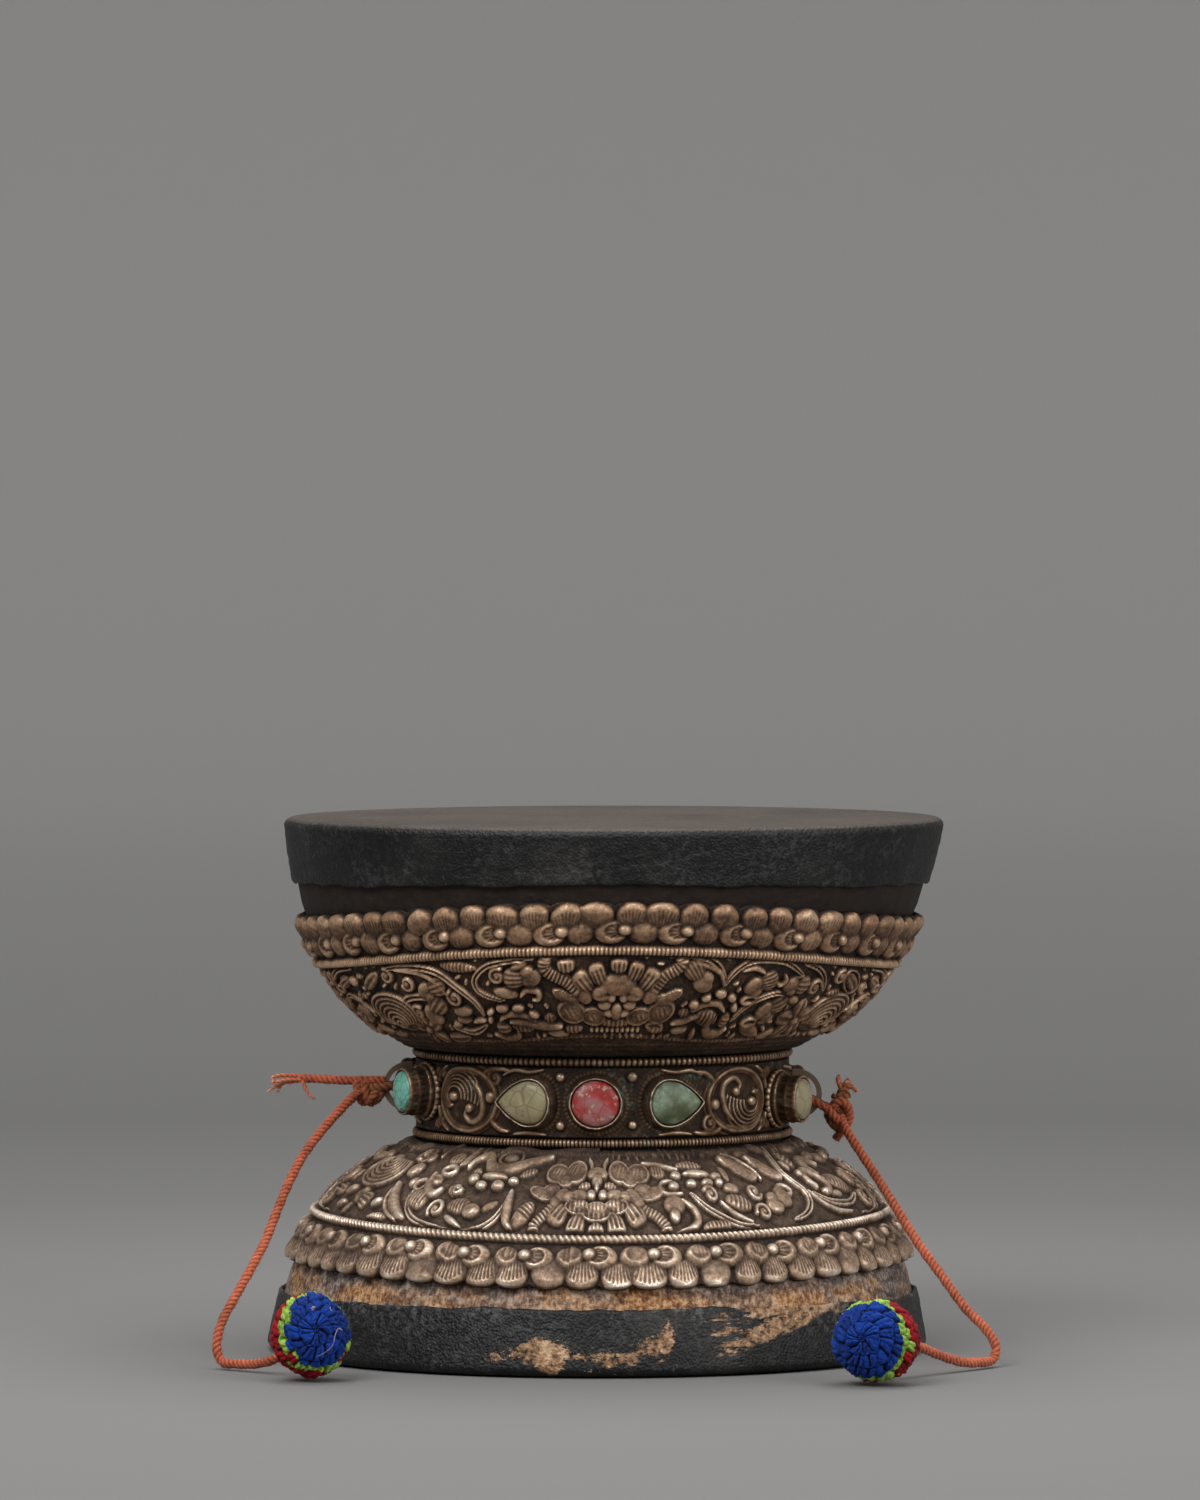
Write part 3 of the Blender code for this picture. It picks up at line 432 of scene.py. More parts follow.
MATERIALS = {
    # The upper cover's ramp is darker than the lower's: tarnish together with painted shade, as the upper cover faces
    # down and away from the light.
    "upper": relief_metal("aged_silver", [(0.0, (0.010, 0.006, 0.004)), (0.22, (0.036, 0.021, 0.013)),
                                          (0.42, (0.105, 0.060, 0.036)), (0.65, (0.34, 0.20, 0.115)),
                                          (1.0, (0.78, 0.56, 0.38))], 0.38, 0.55),
    "lower": relief_metal("bright_silver", [(0.0, (0.020, 0.012, 0.008)), (0.22, (0.056, 0.034, 0.022)),
                                            (0.42, (0.125, 0.080, 0.054)), (0.65, (0.38, 0.26, 0.175)),
                                            (1.0, (0.95, 0.82, 0.68))], 0.32, 0.6),
    "belt": belt_metal("belt_bronze", [(0.0, (0.008, 0.005, 0.003)), (0.3, (0.030, 0.015, 0.007)),
                                       (0.6, (0.155, 0.080, 0.038)), (1.0, (0.62, 0.46, 0.32))]),
    "silver": belt_metal("rim_silver", [(0.0, (0.012, 0.007, 0.004)), (0.45, (0.075, 0.043, 0.025)),
                                        (0.8, (0.26, 0.18, 0.12)), (1.0, (0.50, 0.40, 0.31))], 0.4),
    "wood": wood_material(),
    "upper_skin": skin_material("upper_skin", False),
    "lower_skin": skin_material("lower_skin", True),
    "coral": stone_material("coral", [(0.34, (0.26, 0.013, 0.010)), (0.5, (0.36, 0.034, 0.030)),
                                      (0.64, (0.32, 0.13, 0.13))], 190.0, (0.55, (0.42, 0.34, 0.25)),
                            (0.22, 0.03, 0.02)),
    "olive": stone_material("olive_stone", [(0.3, (0.17, 0.14, 0.075)), (0.5, (0.29, 0.25, 0.14)),
                                            (0.7, (0.38, 0.34, 0.21))], 170.0, (0.66, (0.13, 0.085, 0.045)),
                            (0.15, 0.115, 0.06)),
    "green": stone_material("green_stone", [(0.38, (0.050, 0.068, 0.030)), (0.47, (0.115, 0.145, 0.075)),
                                            (0.54, (0.19, 0.25, 0.165)), (0.62, (0.42, 0.48, 0.40))],
                            150.0, (0.66, (0.50, 0.52, 0.46))),
    "turquoise": stone_material("turquoise", [(0.3, (0.08, 0.26, 0.20)), (0.6, (0.19, 0.50, 0.40))],
                                300.0, None, (0.012, 0.02, 0.016)),
    "orange": cotton_material("orange_cotton", [(0.05, (0.11, 0.020, 0.010)), (0.42, (0.40, 0.085, 0.038)),
                                                (0.80, (0.66, 0.20, 0.10)), (1.0, (0.80, 0.47, 0.32))],
                              [(0.05, (0.05, 0.018, 0.008)), (0.45, (0.20, 0.075, 0.028)),
                               (1.0, (0.52, 0.26, 0.12))]),
    "ball": ball_material(),
    "lug": Nodes("lug_silver").set(colour=(0.20, 0.145, 0.10), roughness=0.42, metallic=0.6),
    "core": Nodes("core_brown").set(colour=(0.12, 0.06, 0.035), roughness=0.8),
}

# Relief drawn on an unrolled sheet

# Half a drawn line's breadth, as a share of its width
LINE_HALF = 0.62


def offsets(points):
    """Distances travelled along a line of points."""
    steps = [math.dist(a, b) for a, b in zip(points, points[1:])]
    return [sum(steps[:index]) for index in range(len(points))]


def rounded(points, steps=5):
    """A smooth line through a few points."""
    ends = [points[0]] + list(points) + [points[-1]]
    line = []
    for a, b, c, d in zip(ends, ends[1:], ends[2:], ends[3:]):
        for step in range(steps):
            t = step / steps
            line.append(tuple(0.5 * (2 * q + (r - p) * t + (2 * p - 5 * q + 4 * r - s) * t * t
                                     + (3 * q - p - 3 * r + s) * t ** 3)
                              for p, q, r, s in zip(a, b, c, d)))
    line.append(tuple(points[-1]))
    return line


class Relief:
    """Heights on an unrolled sheet, on which ornament is drawn and may be mirrored."""

    def __init__(self, low, high, cell=0.08):
        self.low = np.array(low, float)
        self.cell = cell
        size = np.ceil((np.array(high, float) - self.low) / cell).astype(int) + 1
        self.height = np.zeros(tuple(size))
        self.mirror = None

    def window(self, centre, reach):
        """The slice of the sheet round a point, and its cells' places."""
        first = np.floor((np.array(centre) - reach - self.low) / self.cell).astype(int)
        last = np.ceil((np.array(centre) + reach - self.low) / self.cell).astype(int) + 1
        first = np.clip(first, 0, self.height.shape)
        last = np.clip(last, 0, self.height.shape)
        x = self.low[0] + np.arange(first[0], last[0]) * self.cell
        y = self.low[1] + np.arange(first[1], last[1]) * self.cell
        return (slice(first[0], last[0]), slice(first[1], last[1])), x[:, None], y[None, :]

    def across(self, x):
        return x if self.mirror is None else 2 * self.mirror - x

    def line(self, points, width, rise=0.8, taper=True, rungs=0.0, double=False):
        """A rounded ridge: tapered, cut across by rungs, or made of two strands."""
        points = np.array(rounded([(self.across(x), y) for x, y in points]))
        travelled = offsets(points)
        low, high = points.min(axis=0), points.max(axis=0)
        area, x, y = self.window((low + high) / 2, max(high - low) / 2 + width)
        nearest = np.full((x + y).shape, 1e9)
        place = np.zeros_like(nearest)
        for start, stop, begun in zip(points, points[1:], travelled):
            along = stop - start
            length = max(float(np.hypot(*along)), 1e-6)
            dx, dy = x - start[0], y - start[1]
            share = np.clip((dx * along[0] + dy * along[1]) / length ** 2, 0, 1)
            apart = np.hypot(dx - share * along[0], dy - share * along[1])
            place = np.where(apart < nearest, begun + share * length, place)
            nearest = np.minimum(apart, nearest)
        half = LINE_HALF * width
        if taper:
            end = np.minimum(place, travelled[-1] - place) / travelled[-1]
            half = half * (0.35 + 0.65 * np.sin(math.pi * end) ** 0.5)
        if double:
            nearest = np.abs(nearest - 0.48 * half)
            half = half * 0.36
            rise = 0.85 * rise
        ridge = rise * np.clip(1 - (nearest / half) ** 2, 0, 1) ** 0.4
        if rungs:
            ridge *= 0.82 + 0.18 * np.cos(2 * math.pi * place / rungs)
        self.height[area] = np.maximum(self.height[area], ridge)

    def leaf(self, x, y, length, width, angle=0.0, rise=0.95, ribs=0, rungs=0.0, power=0.33, point=0.0,
             corner=2.0, smooth=2.0):
        """An oval swelling, chased along by ribs or across by rungs up to its smooth tip."""
        x = self.across(x)
        if self.mirror is not None:
            angle = 180 - angle
        turn = math.radians(angle)
        area, cx, cy = self.window((x, y), max(length, width) * 0.7)
        dx, dy = cx - x, cy - y
        along = (dx * math.cos(turn) + dy * math.sin(turn)) / (length / 2)
        across = (dy * math.cos(turn) - dx * math.sin(turn)) / (width / 2)
        across = across / np.clip(1 - point * along, 0.25, 2)
        inside = np.clip(1 - np.abs(along) ** corner - np.abs(across) ** corner, 0, 1)
        shape = rise * inside ** power
        chased = np.clip((inside - 0.12) / 0.15, 0, 1) * np.clip((smooth - along) / 0.2, 0, 1)
        if ribs:
            shape = shape * (1 - 0.26 * (0.5 + 0.5 * np.cos(across * math.pi * ribs)) * chased)
        if rungs:
            place = along * length / 2
            shape = shape * (1 - 0.26 * (0.5 + 0.5 * np.cos(2 * math.pi * place / rungs)) * chased)
        self.height[area] = np.maximum(self.height[area], shape)

    def form(self, ovals, rise=0.95, sink=0.0, rungs=0.0, lean=0.0, power=0.28):
        """Ovals grown into one swelling. Inside its border it may be sunk, and hatched by rungs."""
        spots = [(self.across(x), y) for x, y, *_ in ovals]
        centre = np.mean(spots, axis=0)
        reach = max(math.dist(centre, spot) + max(oval[2:4]) / 2 for spot, oval in zip(spots, ovals))
        area, cx, cy = self.window(centre, reach)
        inside = 0 * (cx + cy)
        for (x, y), (_, _, length, width, angle) in zip(spots, ovals):
            turn = math.radians(180 - angle if self.mirror is not None else angle)
            dx, dy = cx - x, cy - y
            along = (dx * math.cos(turn) + dy * math.sin(turn)) / (length / 2)
            across = (dy * math.cos(turn) - dx * math.sin(turn)) / (width / 2)
            inside = np.maximum(inside, 1 - along ** 2 - across ** 2)
        shape = rise * inside ** power - sink * np.clip((inside - 0.34) / 0.12, 0, 1)
        if rungs:
            turn = math.radians(lean)
            place = (cx - centre[0]) * math.cos(turn) + (cy - centre[1]) * math.sin(turn)
            hatch = 0.5 + 0.5 * np.cos(2 * math.pi * place / rungs)
            shape = shape - 0.22 * hatch * np.clip((inside - 0.4) / 0.1, 0, 1)
        self.height[area] = np.maximum(self.height[area], shape)

    def bead(self, x, y, size, rise=0.85):
        self.leaf(x, y, size, size, 0, rise)

    def curl(self, x, y, radius, angle=0.0, turns=1.2, width=0.6, rise=0.8):
        """A spiral tendril that winds in to a bead."""
        points = []
        for step in range(15):
            share = step / 14
            turn = math.radians(angle + 360 * turns * share)
            size = radius * (1 - 0.72 * share)
            points.append((x + size * math.cos(turn), y + size * math.sin(turn)))
        self.line(points, width, rise, taper=False)
        self.bead(x, y, radius * 0.75, rise * 1.1)

    def ring(self, x, y, length, width, angle, thick, rise=0.7, start=0, stop=360):
        """An oval line, whole or in part."""
        turn = math.radians(angle)
        points = []
        for step in range(13):
            place = math.radians(start + (stop - start) * step / 12)
            u, v = length / 2 * math.cos(place), width / 2 * math.sin(place)
            points.append((x + u * math.cos(turn) - v * math.sin(turn),
                           y + u * math.sin(turn) + v * math.cos(turn)))
        self.line(points, thick, rise, taper=False)

    def bud(self, x, y, size, angle, ribs=5):
        """Two lobes grown together, one of them chased with a fan of lines."""
        turn = math.radians(angle)
        ahead = (math.cos(turn) * size * 0.34, math.sin(turn) * size * 0.34)
        self.leaf(x + ahead[0], y + ahead[1], size * 1.0, size * 0.88, angle, 1.0, ribs=ribs, power=0.35,
                  point=-0.25)
        self.form([(x - ahead[0], y - ahead[1], size * 0.9, size * 0.68, angle + 30),
                   (x - 0.6 * ahead[0] + 0.8 * ahead[1], y - 0.6 * ahead[1] - 0.8 * ahead[0],
                    size * 0.62, size * 0.52, angle)], 0.95)

    def flower(self, x, y, size, angle=0.0, petals=5):
        """Petals round a bead."""
        for step in range(petals):
            turn = math.radians(angle + 360 * step / petals)
            self.leaf(x + size * 0.5 * math.cos(turn), y + size * 0.40 * math.sin(turn),
                      size * 0.78, size * 0.55, math.degrees(turn), 0.9, ribs=2)
        self.bead(x, y, size * 0.34, 1.05)

    def whorl(self, x, y, length, width, rings=6):
        """A half-open lotus of nested lines, chased on a low swelling."""
        self.leaf(x, y, length * 1.05, width * 1.1, 0, 0.62, power=0.25)
        for step in range(rings):
            size = 1 - step / rings
            shift = width * 0.28 * (1 - size)
            self.ring(x, y - shift, length * size, width * size, 0, 0.5, 0.78 + 0.05 * step, -30, 210)
        self.leaf(x, y - width * 0.30, length * 0.3, width * 0.22, 0, 1.1)

    def fill(self, first, last, spacing=1.75, room=0.8, rise=0.72):
        """Small leaves, some of them hatched, wherever the ground between two rows is still bare."""
        self.mirror = None
        columns = int(self.height.shape[0] * self.cell / spacing)
        rows = int((last - first) / spacing)
        for index in range(columns * rows):
            column, row = divmod(index, rows)
            x = self.low[0] + (column + 0.3 + 0.4 * steady(index, 1)) * spacing
            y = first + (row + 0.3 + 0.4 * steady(index, 2)) * spacing
            area, _, _ = self.window((x, y), room)
            if self.height[area].size and self.height[area].max() < 0.08:
                long = room * (1.8 + 1.2 * steady(index, 3))
                self.leaf(x, y, long, room * 1.35, 180 * steady(index, 4), rise,
                          rungs=0.62 * (steady(index, 5) > 0.55))

    def sample(self, x, y):
        """Heights between the cells, for arrays of places."""
        gx = np.clip((x - self.low[0]) / self.cell, 0, self.height.shape[0] - 1.001)
        gy = np.clip((y - self.low[1]) / self.cell, 0, self.height.shape[1] - 1.001)
        ix, iy = gx.astype(int), gy.astype(int)
        fx, fy = gx - ix, gy - iy
        h = self.height
        low = h[ix, iy] * (1 - fx) + h[ix + 1, iy] * fx
        high = h[ix, iy + 1] * (1 - fx) + h[ix + 1, iy + 1] * fx
        return low * (1 - fy) + high * fy


# A cover's sheet runs round half the drum, and the other half repeats it. Its first measure
# is the azimuth times this radius, and its second is the reach.
SHEET_RADIUS = 43.0
HALF_ROUND = math.pi / 2 * SHEET_RADIUS


def draw_upper_lotus(s):
    """The lotus at the front of the upper cover, and the leaves and ribbons beside it."""
    for x, y, length, width, angle in ((-5.9, 15.7, 2.2, 2.6, 95), (-3.4, 13.2, 3.9, 2.8, 128),
                                       (-1.3, 14.4, 3.6, 2.4, 112), (1.6, 15.7, 2.4, 2.5, 90),
                                       (4.0, 14.8, 3.2, 2.3, 72), (6.1, 13.6, 3.7, 2.8, 58)):
        s.leaf(x, y, length, width, angle, 1.05, ribs=4, power=0.4, point=-0.12, corner=2.6, smooth=0.6)
    s.form([(1.7, 12.9, 5.6, 3.4, 0), (-0.9, 12.0, 3.0, 1.7, 25), (4.3, 12.0, 3.0, 1.7, -25)], 1.1)
    for side in (-1, 1):
        x = 1.7 + side * 2.5
        s.form([(x, 11.2, 2.9, 1.5, side * 8), (1.7 + side * 0.9, 11.0, 1.4, 1.4, 0)], 1.05)
        s.leaf(1.7 + side * 1.9, 9.9, 2.2, 1.5, 0, 1.1)
        s.form([(1.7 + side * 3.6, 8.1, 4.2, 2.9, side * 8), (1.7 + side * 7.0, 8.8, 4.8, 3.7, side * 12)],
               1.0, sink=0.22)
        s.form([(1.7 + side * 3.8, 8.1, 2.6, 1.5, side * 8), (1.7 + side * 7.1, 8.8, 3.3, 2.2, side * 12)],
               0.95, rungs=0.7, lean=30)
        s.leaf(1.7 + side * 6.9, 6.1, 3.2, 1.3, -side * 5, 0.85, rungs=0.7)
        s.leaf(1.7 + side * 4.9, 11.2, 2.7, 2.3, side * 60, 0.98, power=0.35)
        s.form([(1.7 + side * 8.1, 11.2, 3.9, 1.7, side * 28), (1.7 + side * 6.8, 10.8, 2.4, 1.6, side * 10)],
               0.95, sink=0.2)
    s.form([(1.7, 8.9, 2.0, 2.6, 0), (0.5, 8.7, 1.8, 1.1, -20), (2.9, 8.7, 1.8, 1.1, 20)], 1.1)
    s.leaf(1.7, 7.1, 5.8, 1.3, 0, 0.85, rungs=0.7)
    for step in range(10):
        s.bead(-2.2 + 0.87 * step, 5.95, 0.8, 0.7)
    s.line([(7.1, 12.3), (8.4, 14.2), (9.8, 15.2), (10.6, 16.2), (10.2, 17.3)], 1.6, 0.95, False, 0.56)
    s.line([(-4.5, 12.0), (-6.0, 13.4), (-8.0, 14.4), (-9.0, 15.4), (-8.9, 16.8)], 1.6, 0.95, False, 0.56)


def draw_upper_right(s):
    """Scrolls, buds and leaves to the right of the upper lotus."""
    s.line([(11.2, 17.2), (13.6, 17.1), (15.8, 16.1), (17.6, 14.1)], 1.1, 0.75, double=True)
    s.line([(12.4, 16.4), (14.6, 15.8), (16.6, 14.9), (17.7, 13.1)], 0.8, 0.75)
    s.line([(17.7, 12.9), (18.7, 15.0), (20.4, 16.6), (23.0, 17.2), (27.0, 17.0), (31.0, 15.2)], 1.1,
           0.8, double=True)
    s.line([(20.0, 15.4), (22.0, 15.9), (23.8, 15.2)], 0.8)
    s.bud(13.5, 14.1, 3.7, -52 + 180, 6)
    for x, y, size, angle in ((13.9, 9.9, 1.9, 0), (15.5, 11.0, 1.7, 15), (17.7, 11.7, 2.0, -8),
                              (19.8, 11.1, 1.7, -25), (20.9, 9.6, 1.6, -60)):
        s.leaf(x, y, size, size * 0.75, angle, 0.95)
    s.line([(13.8, 9.0), (15.6, 10.0), (17.8, 10.1), (19.4, 9.0)], 0.9)
    s.line([(11.0, 7.0), (13.0, 7.4), (15.0, 8.2)], 1.0)
    s.leaf(16.8, 7.9, 4.4, 2.6, -12, 1.0, rungs=0.7)
    s.line([(17.4, 8.4), (17.5, 6.6), (18.6, 5.4), (20.4, 5.4), (21.4, 6.4)], 1.2, 0.9)
    s.leaf(20.3, 7.6, 1.7, 2.4, 0, 0.95, ribs=4)
    s.leaf(12.7, 8.6, 2.0, 1.5, 0, 0.7, rungs=0.6)
    s.ring(8.3, 6.6, 2.6, 1.0, -5, 0.5)
    s.leaf(12.9, 5.9, 3.0, 1.2, 8, 0.8)
    s.bud(23.8, 13.5, 3.6, 18, 6)
    s.line([(26.6, 13.8), (27.4, 13.4), (28.1, 14.2), (27.6, 15.1)], 0.7)
    s.ring(22.9, 10.9, 2.4, 1.2, 8, 0.6, 0.8, 20, 330)
    s.line([(21.7, 7.4), (22.6, 9.4), (24.6, 11.0), (27.4, 12.0), (29.9, 11.9)], 1.0, 0.8, double=True)
    s.bud(28.0, 9.7, 3.6, 28, 4)
    s.leaf(28.5, 7.8, 3.0, 1.3, 28, 0.85)
    s.leaf(31.7, 11.1, 2.1, 1.4, 0, 0.95)
    s.ring(25.4, 7.3, 2.6, 1.2, 5, 0.6, 0.8, 30, 340)
    s.leaf(27.2, 5.8, 5.8, 1.8, -18, 0.9, point=0.4)
    s.leaf(31.6, 5.2, 3.2, 1.3, 25, 0.8)
    s.bud(30.6, 13.5, 3.4, 0, 4)
    s.ring(30.7, 13.5, 4.4, 2.6, 0, 0.45, 0.6)
    s.curl(34.7, 13.3, 1.3, 20)
    s.line([(30.6, 17.0), (33.6, 16.4), (35.8, 15.0), (37.3, 12.8)], 1.0, 0.75, double=True)
    s.flower(35.3, 7.7, 4.6, 30)
    s.whorl(43.0, 9.0, 11.0, 6.6, 7)
    s.leaf(40.4, 12.5, 3.2, 1.2, 15, 0.8, rungs=0.7)
    s.curl(39.7, 15.3, 1.25, 90)
    s.leaf(43.9, 14.5, 5.6, 2.2, -28, 0.95, ribs=2)
    s.ring(43.9, 14.5, 6.4, 3.0, -28, 0.4, 0.6)
    s.leaf(48.5, 13.7, 2.2, 1.8, 30, 0.95)


def draw_upper_left(s):
    """Scrolls, buds and leaves to the left of the upper lotus."""
    s.line([(-10.5, 16.9), (-14.0, 16.6), (-17.5, 16.0), (-19.8, 14.2), (-19.9, 12.4), (-18.2, 11.2),
            (-15.8, 10.6)], 1.0, 0.8, double=True)
    s.curl(-16.2, 14.4, 1.25, 60)
    s.bud(-12.3, 13.9, 3.7, 180, 5)
    s.leaf(-12.8, 15.8, 2.7, 1.2, 18, 0.8)
    s.leaf(-15.3, 11.8, 4.2, 1.8, -10, 1.0, power=0.4)
    s.line([(-13.0, 11.3), (-11.9, 12.2), (-10.3, 11.9), (-10.3, 10.9), (-11.2, 10.8)], 0.9, 0.9)
    for x, y, size, angle in ((-18.8, 8.9, 1.6, 20), (-16.6, 9.4, 2.3, 0), (-13.9, 9.4, 2.2, 0),
                              (-11.5, 8.4, 1.9, -20), (-19.3, 7.7, 1.5, 60)):
        s.leaf(x, y, size, size * 0.6, angle, 0.95)
    s.line([(-17.6, 7.6), (-15.8, 8.4), (-13.4, 8.3), (-11.4, 7.5)], 0.9)
    s.line([(-15.8, 7.4), (-13.0, 7.2), (-10.0, 6.6), (-7.2, 6.6)], 1.2, 0.9)
    s.leaf(-14.0, 6.4, 4.0, 1.6, -5, 0.9, rungs=0.7)
    s.leaf(-17.6, 6.3, 2.7, 2.1, 0, 0.95, ribs=3)
    s.line([(-19.8, 5.4), (-17.6, 4.7), (-15.4, 5.0), (-15.0, 6.4)], 0.9)
    s.leaf(-9.0, 7.7, 2.0, 1.5, 0, 0.7, rungs=0.6)
    s.leaf(-8.0, 5.4, 4.0, 1.0, -3, 0.8)
    s.leaf(-22.2, 16.1, 6.2, 1.9, -10, 0.9, rungs=0.6, point=0.3)
    s.line([(-36.5, 16.6), (-30.0, 16.4), (-26.0, 15.3), (-23.4, 13.0), (-20.9, 10.4), (-20.2, 8.4)],
           1.2, 0.85, double=True)
    s.line([(-34.0, 16.2), (-29.6, 15.5), (-26.8, 13.8), (-25.6, 11.9)], 0.8)
    s.bud(-28.3, 12.8, 3.5, 10, 4)
    s.curl(-32.4, 13.9, 1.25, 200)
    s.curl(-24.3, 11.2, 1.25, 120)
    s.leaf(-23.9, 9.0, 3.6, 1.8, 0, 0.95, power=0.4)
    s.leaf(-24.3, 7.7, 3.2, 1.3, 0, 0.85)
    s.line([(-27.6, 6.5), (-24.0, 5.6), (-20.6, 6.7)], 1.0, double=True)
    s.leaf(-26.3, 6.9, 1.8, 1.2, 0, 0.85)
    s.line([(-22.6, 7.4), (-20.2, 7.6)], 0.8)
    s.bud(-29.6, 9.3, 3.9, 35, 4)
    s.line([(-36.2, 9.3), (-34.6, 11.1), (-31.2, 11.6), (-28.6, 10.9)], 1.2, 0.85, double=True)
    s.curl(-33.2, 9.1, 1.1, 40)
    s.flower(-33.6, 6.2, 3.8, 20)
    s.leaf(-28.4, 4.5, 5.0, 1.6, 0, 0.8, ribs=2)


def draw_upper_sides(s):
    """What turns out of sight at the sides of the upper cover, alike on both."""
    s.leaf(53.2, 14.6, 4.6, 2.2, -15, 0.95, ribs=3)
    s.line([(48.8, 16.8), (53.0, 16.9), (57.0, 15.6), (59.4, 12.6)], 1.1, 0.8, double=True)
    s.curl(58.2, 15.9, 1.1, 200)
    s.line([(50.0, 9.0), (52.4, 11.4), (55.4, 12.1), (57.6, 11.0)], 1.0, 0.8, double=True)
    s.bud(54.4, 9.0, 3.6, -20, 4)
    s.flower(60.4, 8.6, 4.4, 50)
    s.leaf(52.6, 5.8, 5.2, 1.6, 12, 0.85, point=-0.3)
    s.leaf(58.2, 5.2, 3.4, 1.4, -20, 0.85)
    s.ring(56.6, 13.4, 2.4, 1.3, 0, 0.6)
    s.line([(61.2, 16.8), (63.6, 14.8), (65.6, 12.0), (66.6, 8.6), (66.2, 5.6)], 1.1, 0.8, double=True)
    s.leaf(63.4, 12.0, 3.2, 2.0, 60, 0.95, ribs=3)
    s.curl(63.6, 5.6, 1.2, 0)
    s.leaf(48.2, 5.0, 4.6, 1.2, 0, 0.8)


def draw_lower_lotus(s):
    """The lotus at the front of the lower cover, its petals towards the rim."""
    for x, y, length, width, angle in ((-6.6, 9.9, 3.6, 3.0, 122), (-3.7, 11.5, 3.5, 2.8, 105),
                                       (-0.7, 12.2, 2.4, 2.5, 90), (2.3, 11.5, 3.5, 2.8, 75),
                                       (5.2, 9.9, 3.8, 3.1, 58)):
        s.leaf(x, y, length, width, angle, 1.1, ribs=4, power=0.4, point=-0.15, corner=2.4, smooth=0.5)
    s.form([(-0.7, 9.6, 5.2, 3.0, 0), (-3.9, 8.9, 4.0, 2.2, 12), (2.5, 8.9, 4.0, 2.2, -12)], 1.2, sink=0.3,
           rungs=0.75)
    s.form([(-0.7, 9.0, 3.6, 1.9, 0), (-3.2, 8.5, 2.8, 1.4, 8), (1.8, 8.5, 2.8, 1.4, -8)], 1.2, rungs=0.6)
    for side in (-1, 1):
        x = -0.7 + side * 2.9
        s.form([(x, 7.2, 3.0, 1.7, 0), (x + side * 1.7, 7.4, 2.4, 1.5, side * 15),
                (-0.7 + side * 0.95, 7.1, 1.6, 1.5, 0)], 1.1)
        s.leaf(-0.7 + side * 2.2, 5.75, 2.2, 1.2, side * 12, 0.9, rungs=0.6)
        s.form([(-0.7 + side * 3.9, 3.8, 4.2, 3.4, side * 8), (-0.7 + side * 7.2, 4.1, 4.6, 3.0, -side * 6),
                (-0.7 + side * 5.6, 4.9, 3.0, 2.2, 0)], 1.05, sink=0.26)
        s.form([(-0.7 + side * 4.1, 3.7, 2.6, 1.9, side * 8), (-0.7 + side * 7.0, 4.0, 3.0, 1.6, -side * 6)],
               0.98, rungs=0.62, lean=25)
        s.line([(-0.7 + side * 1.9, 1.9), (-0.7 + side * 1.2, 2.8), (-0.7 + side * 1.3, 3.7)], 0.7)
        s.form([(-0.7 + side * 9.2, 6.9, 4.8, 1.8, -side * 18), (-0.7 + side * 7.6, 6.3, 3.0, 1.6, -side * 4)],
               0.95, sink=0.2)
        s.form([(-0.7 + side * 5.9, 7.3, 3.0, 2.0, side * 35), (-0.7 + side * 6.6, 8.2, 2.2, 1.9, side * 80)],
               1.0)
    s.form([(-0.8, 4.1, 3.9, 1.8, 0), (-0.8, 4.9, 2.0, 2.0, 90), (-0.8, 5.9, 0.9, 2.0, 0)], 1.2)
    s.line([(6.0, 8.3), (6.9, 9.3), (8.2, 10.0), (9.3, 11.0), (9.9, 12.1), (9.4, 13.1)], 1.4, 0.95, False, 0.56)
    s.line([(-7.6, 8.5), (-8.2, 9.4), (-9.2, 10.5), (-10.0, 11.6), (-9.8, 13.1)], 1.4, 0.95, False, 0.56)


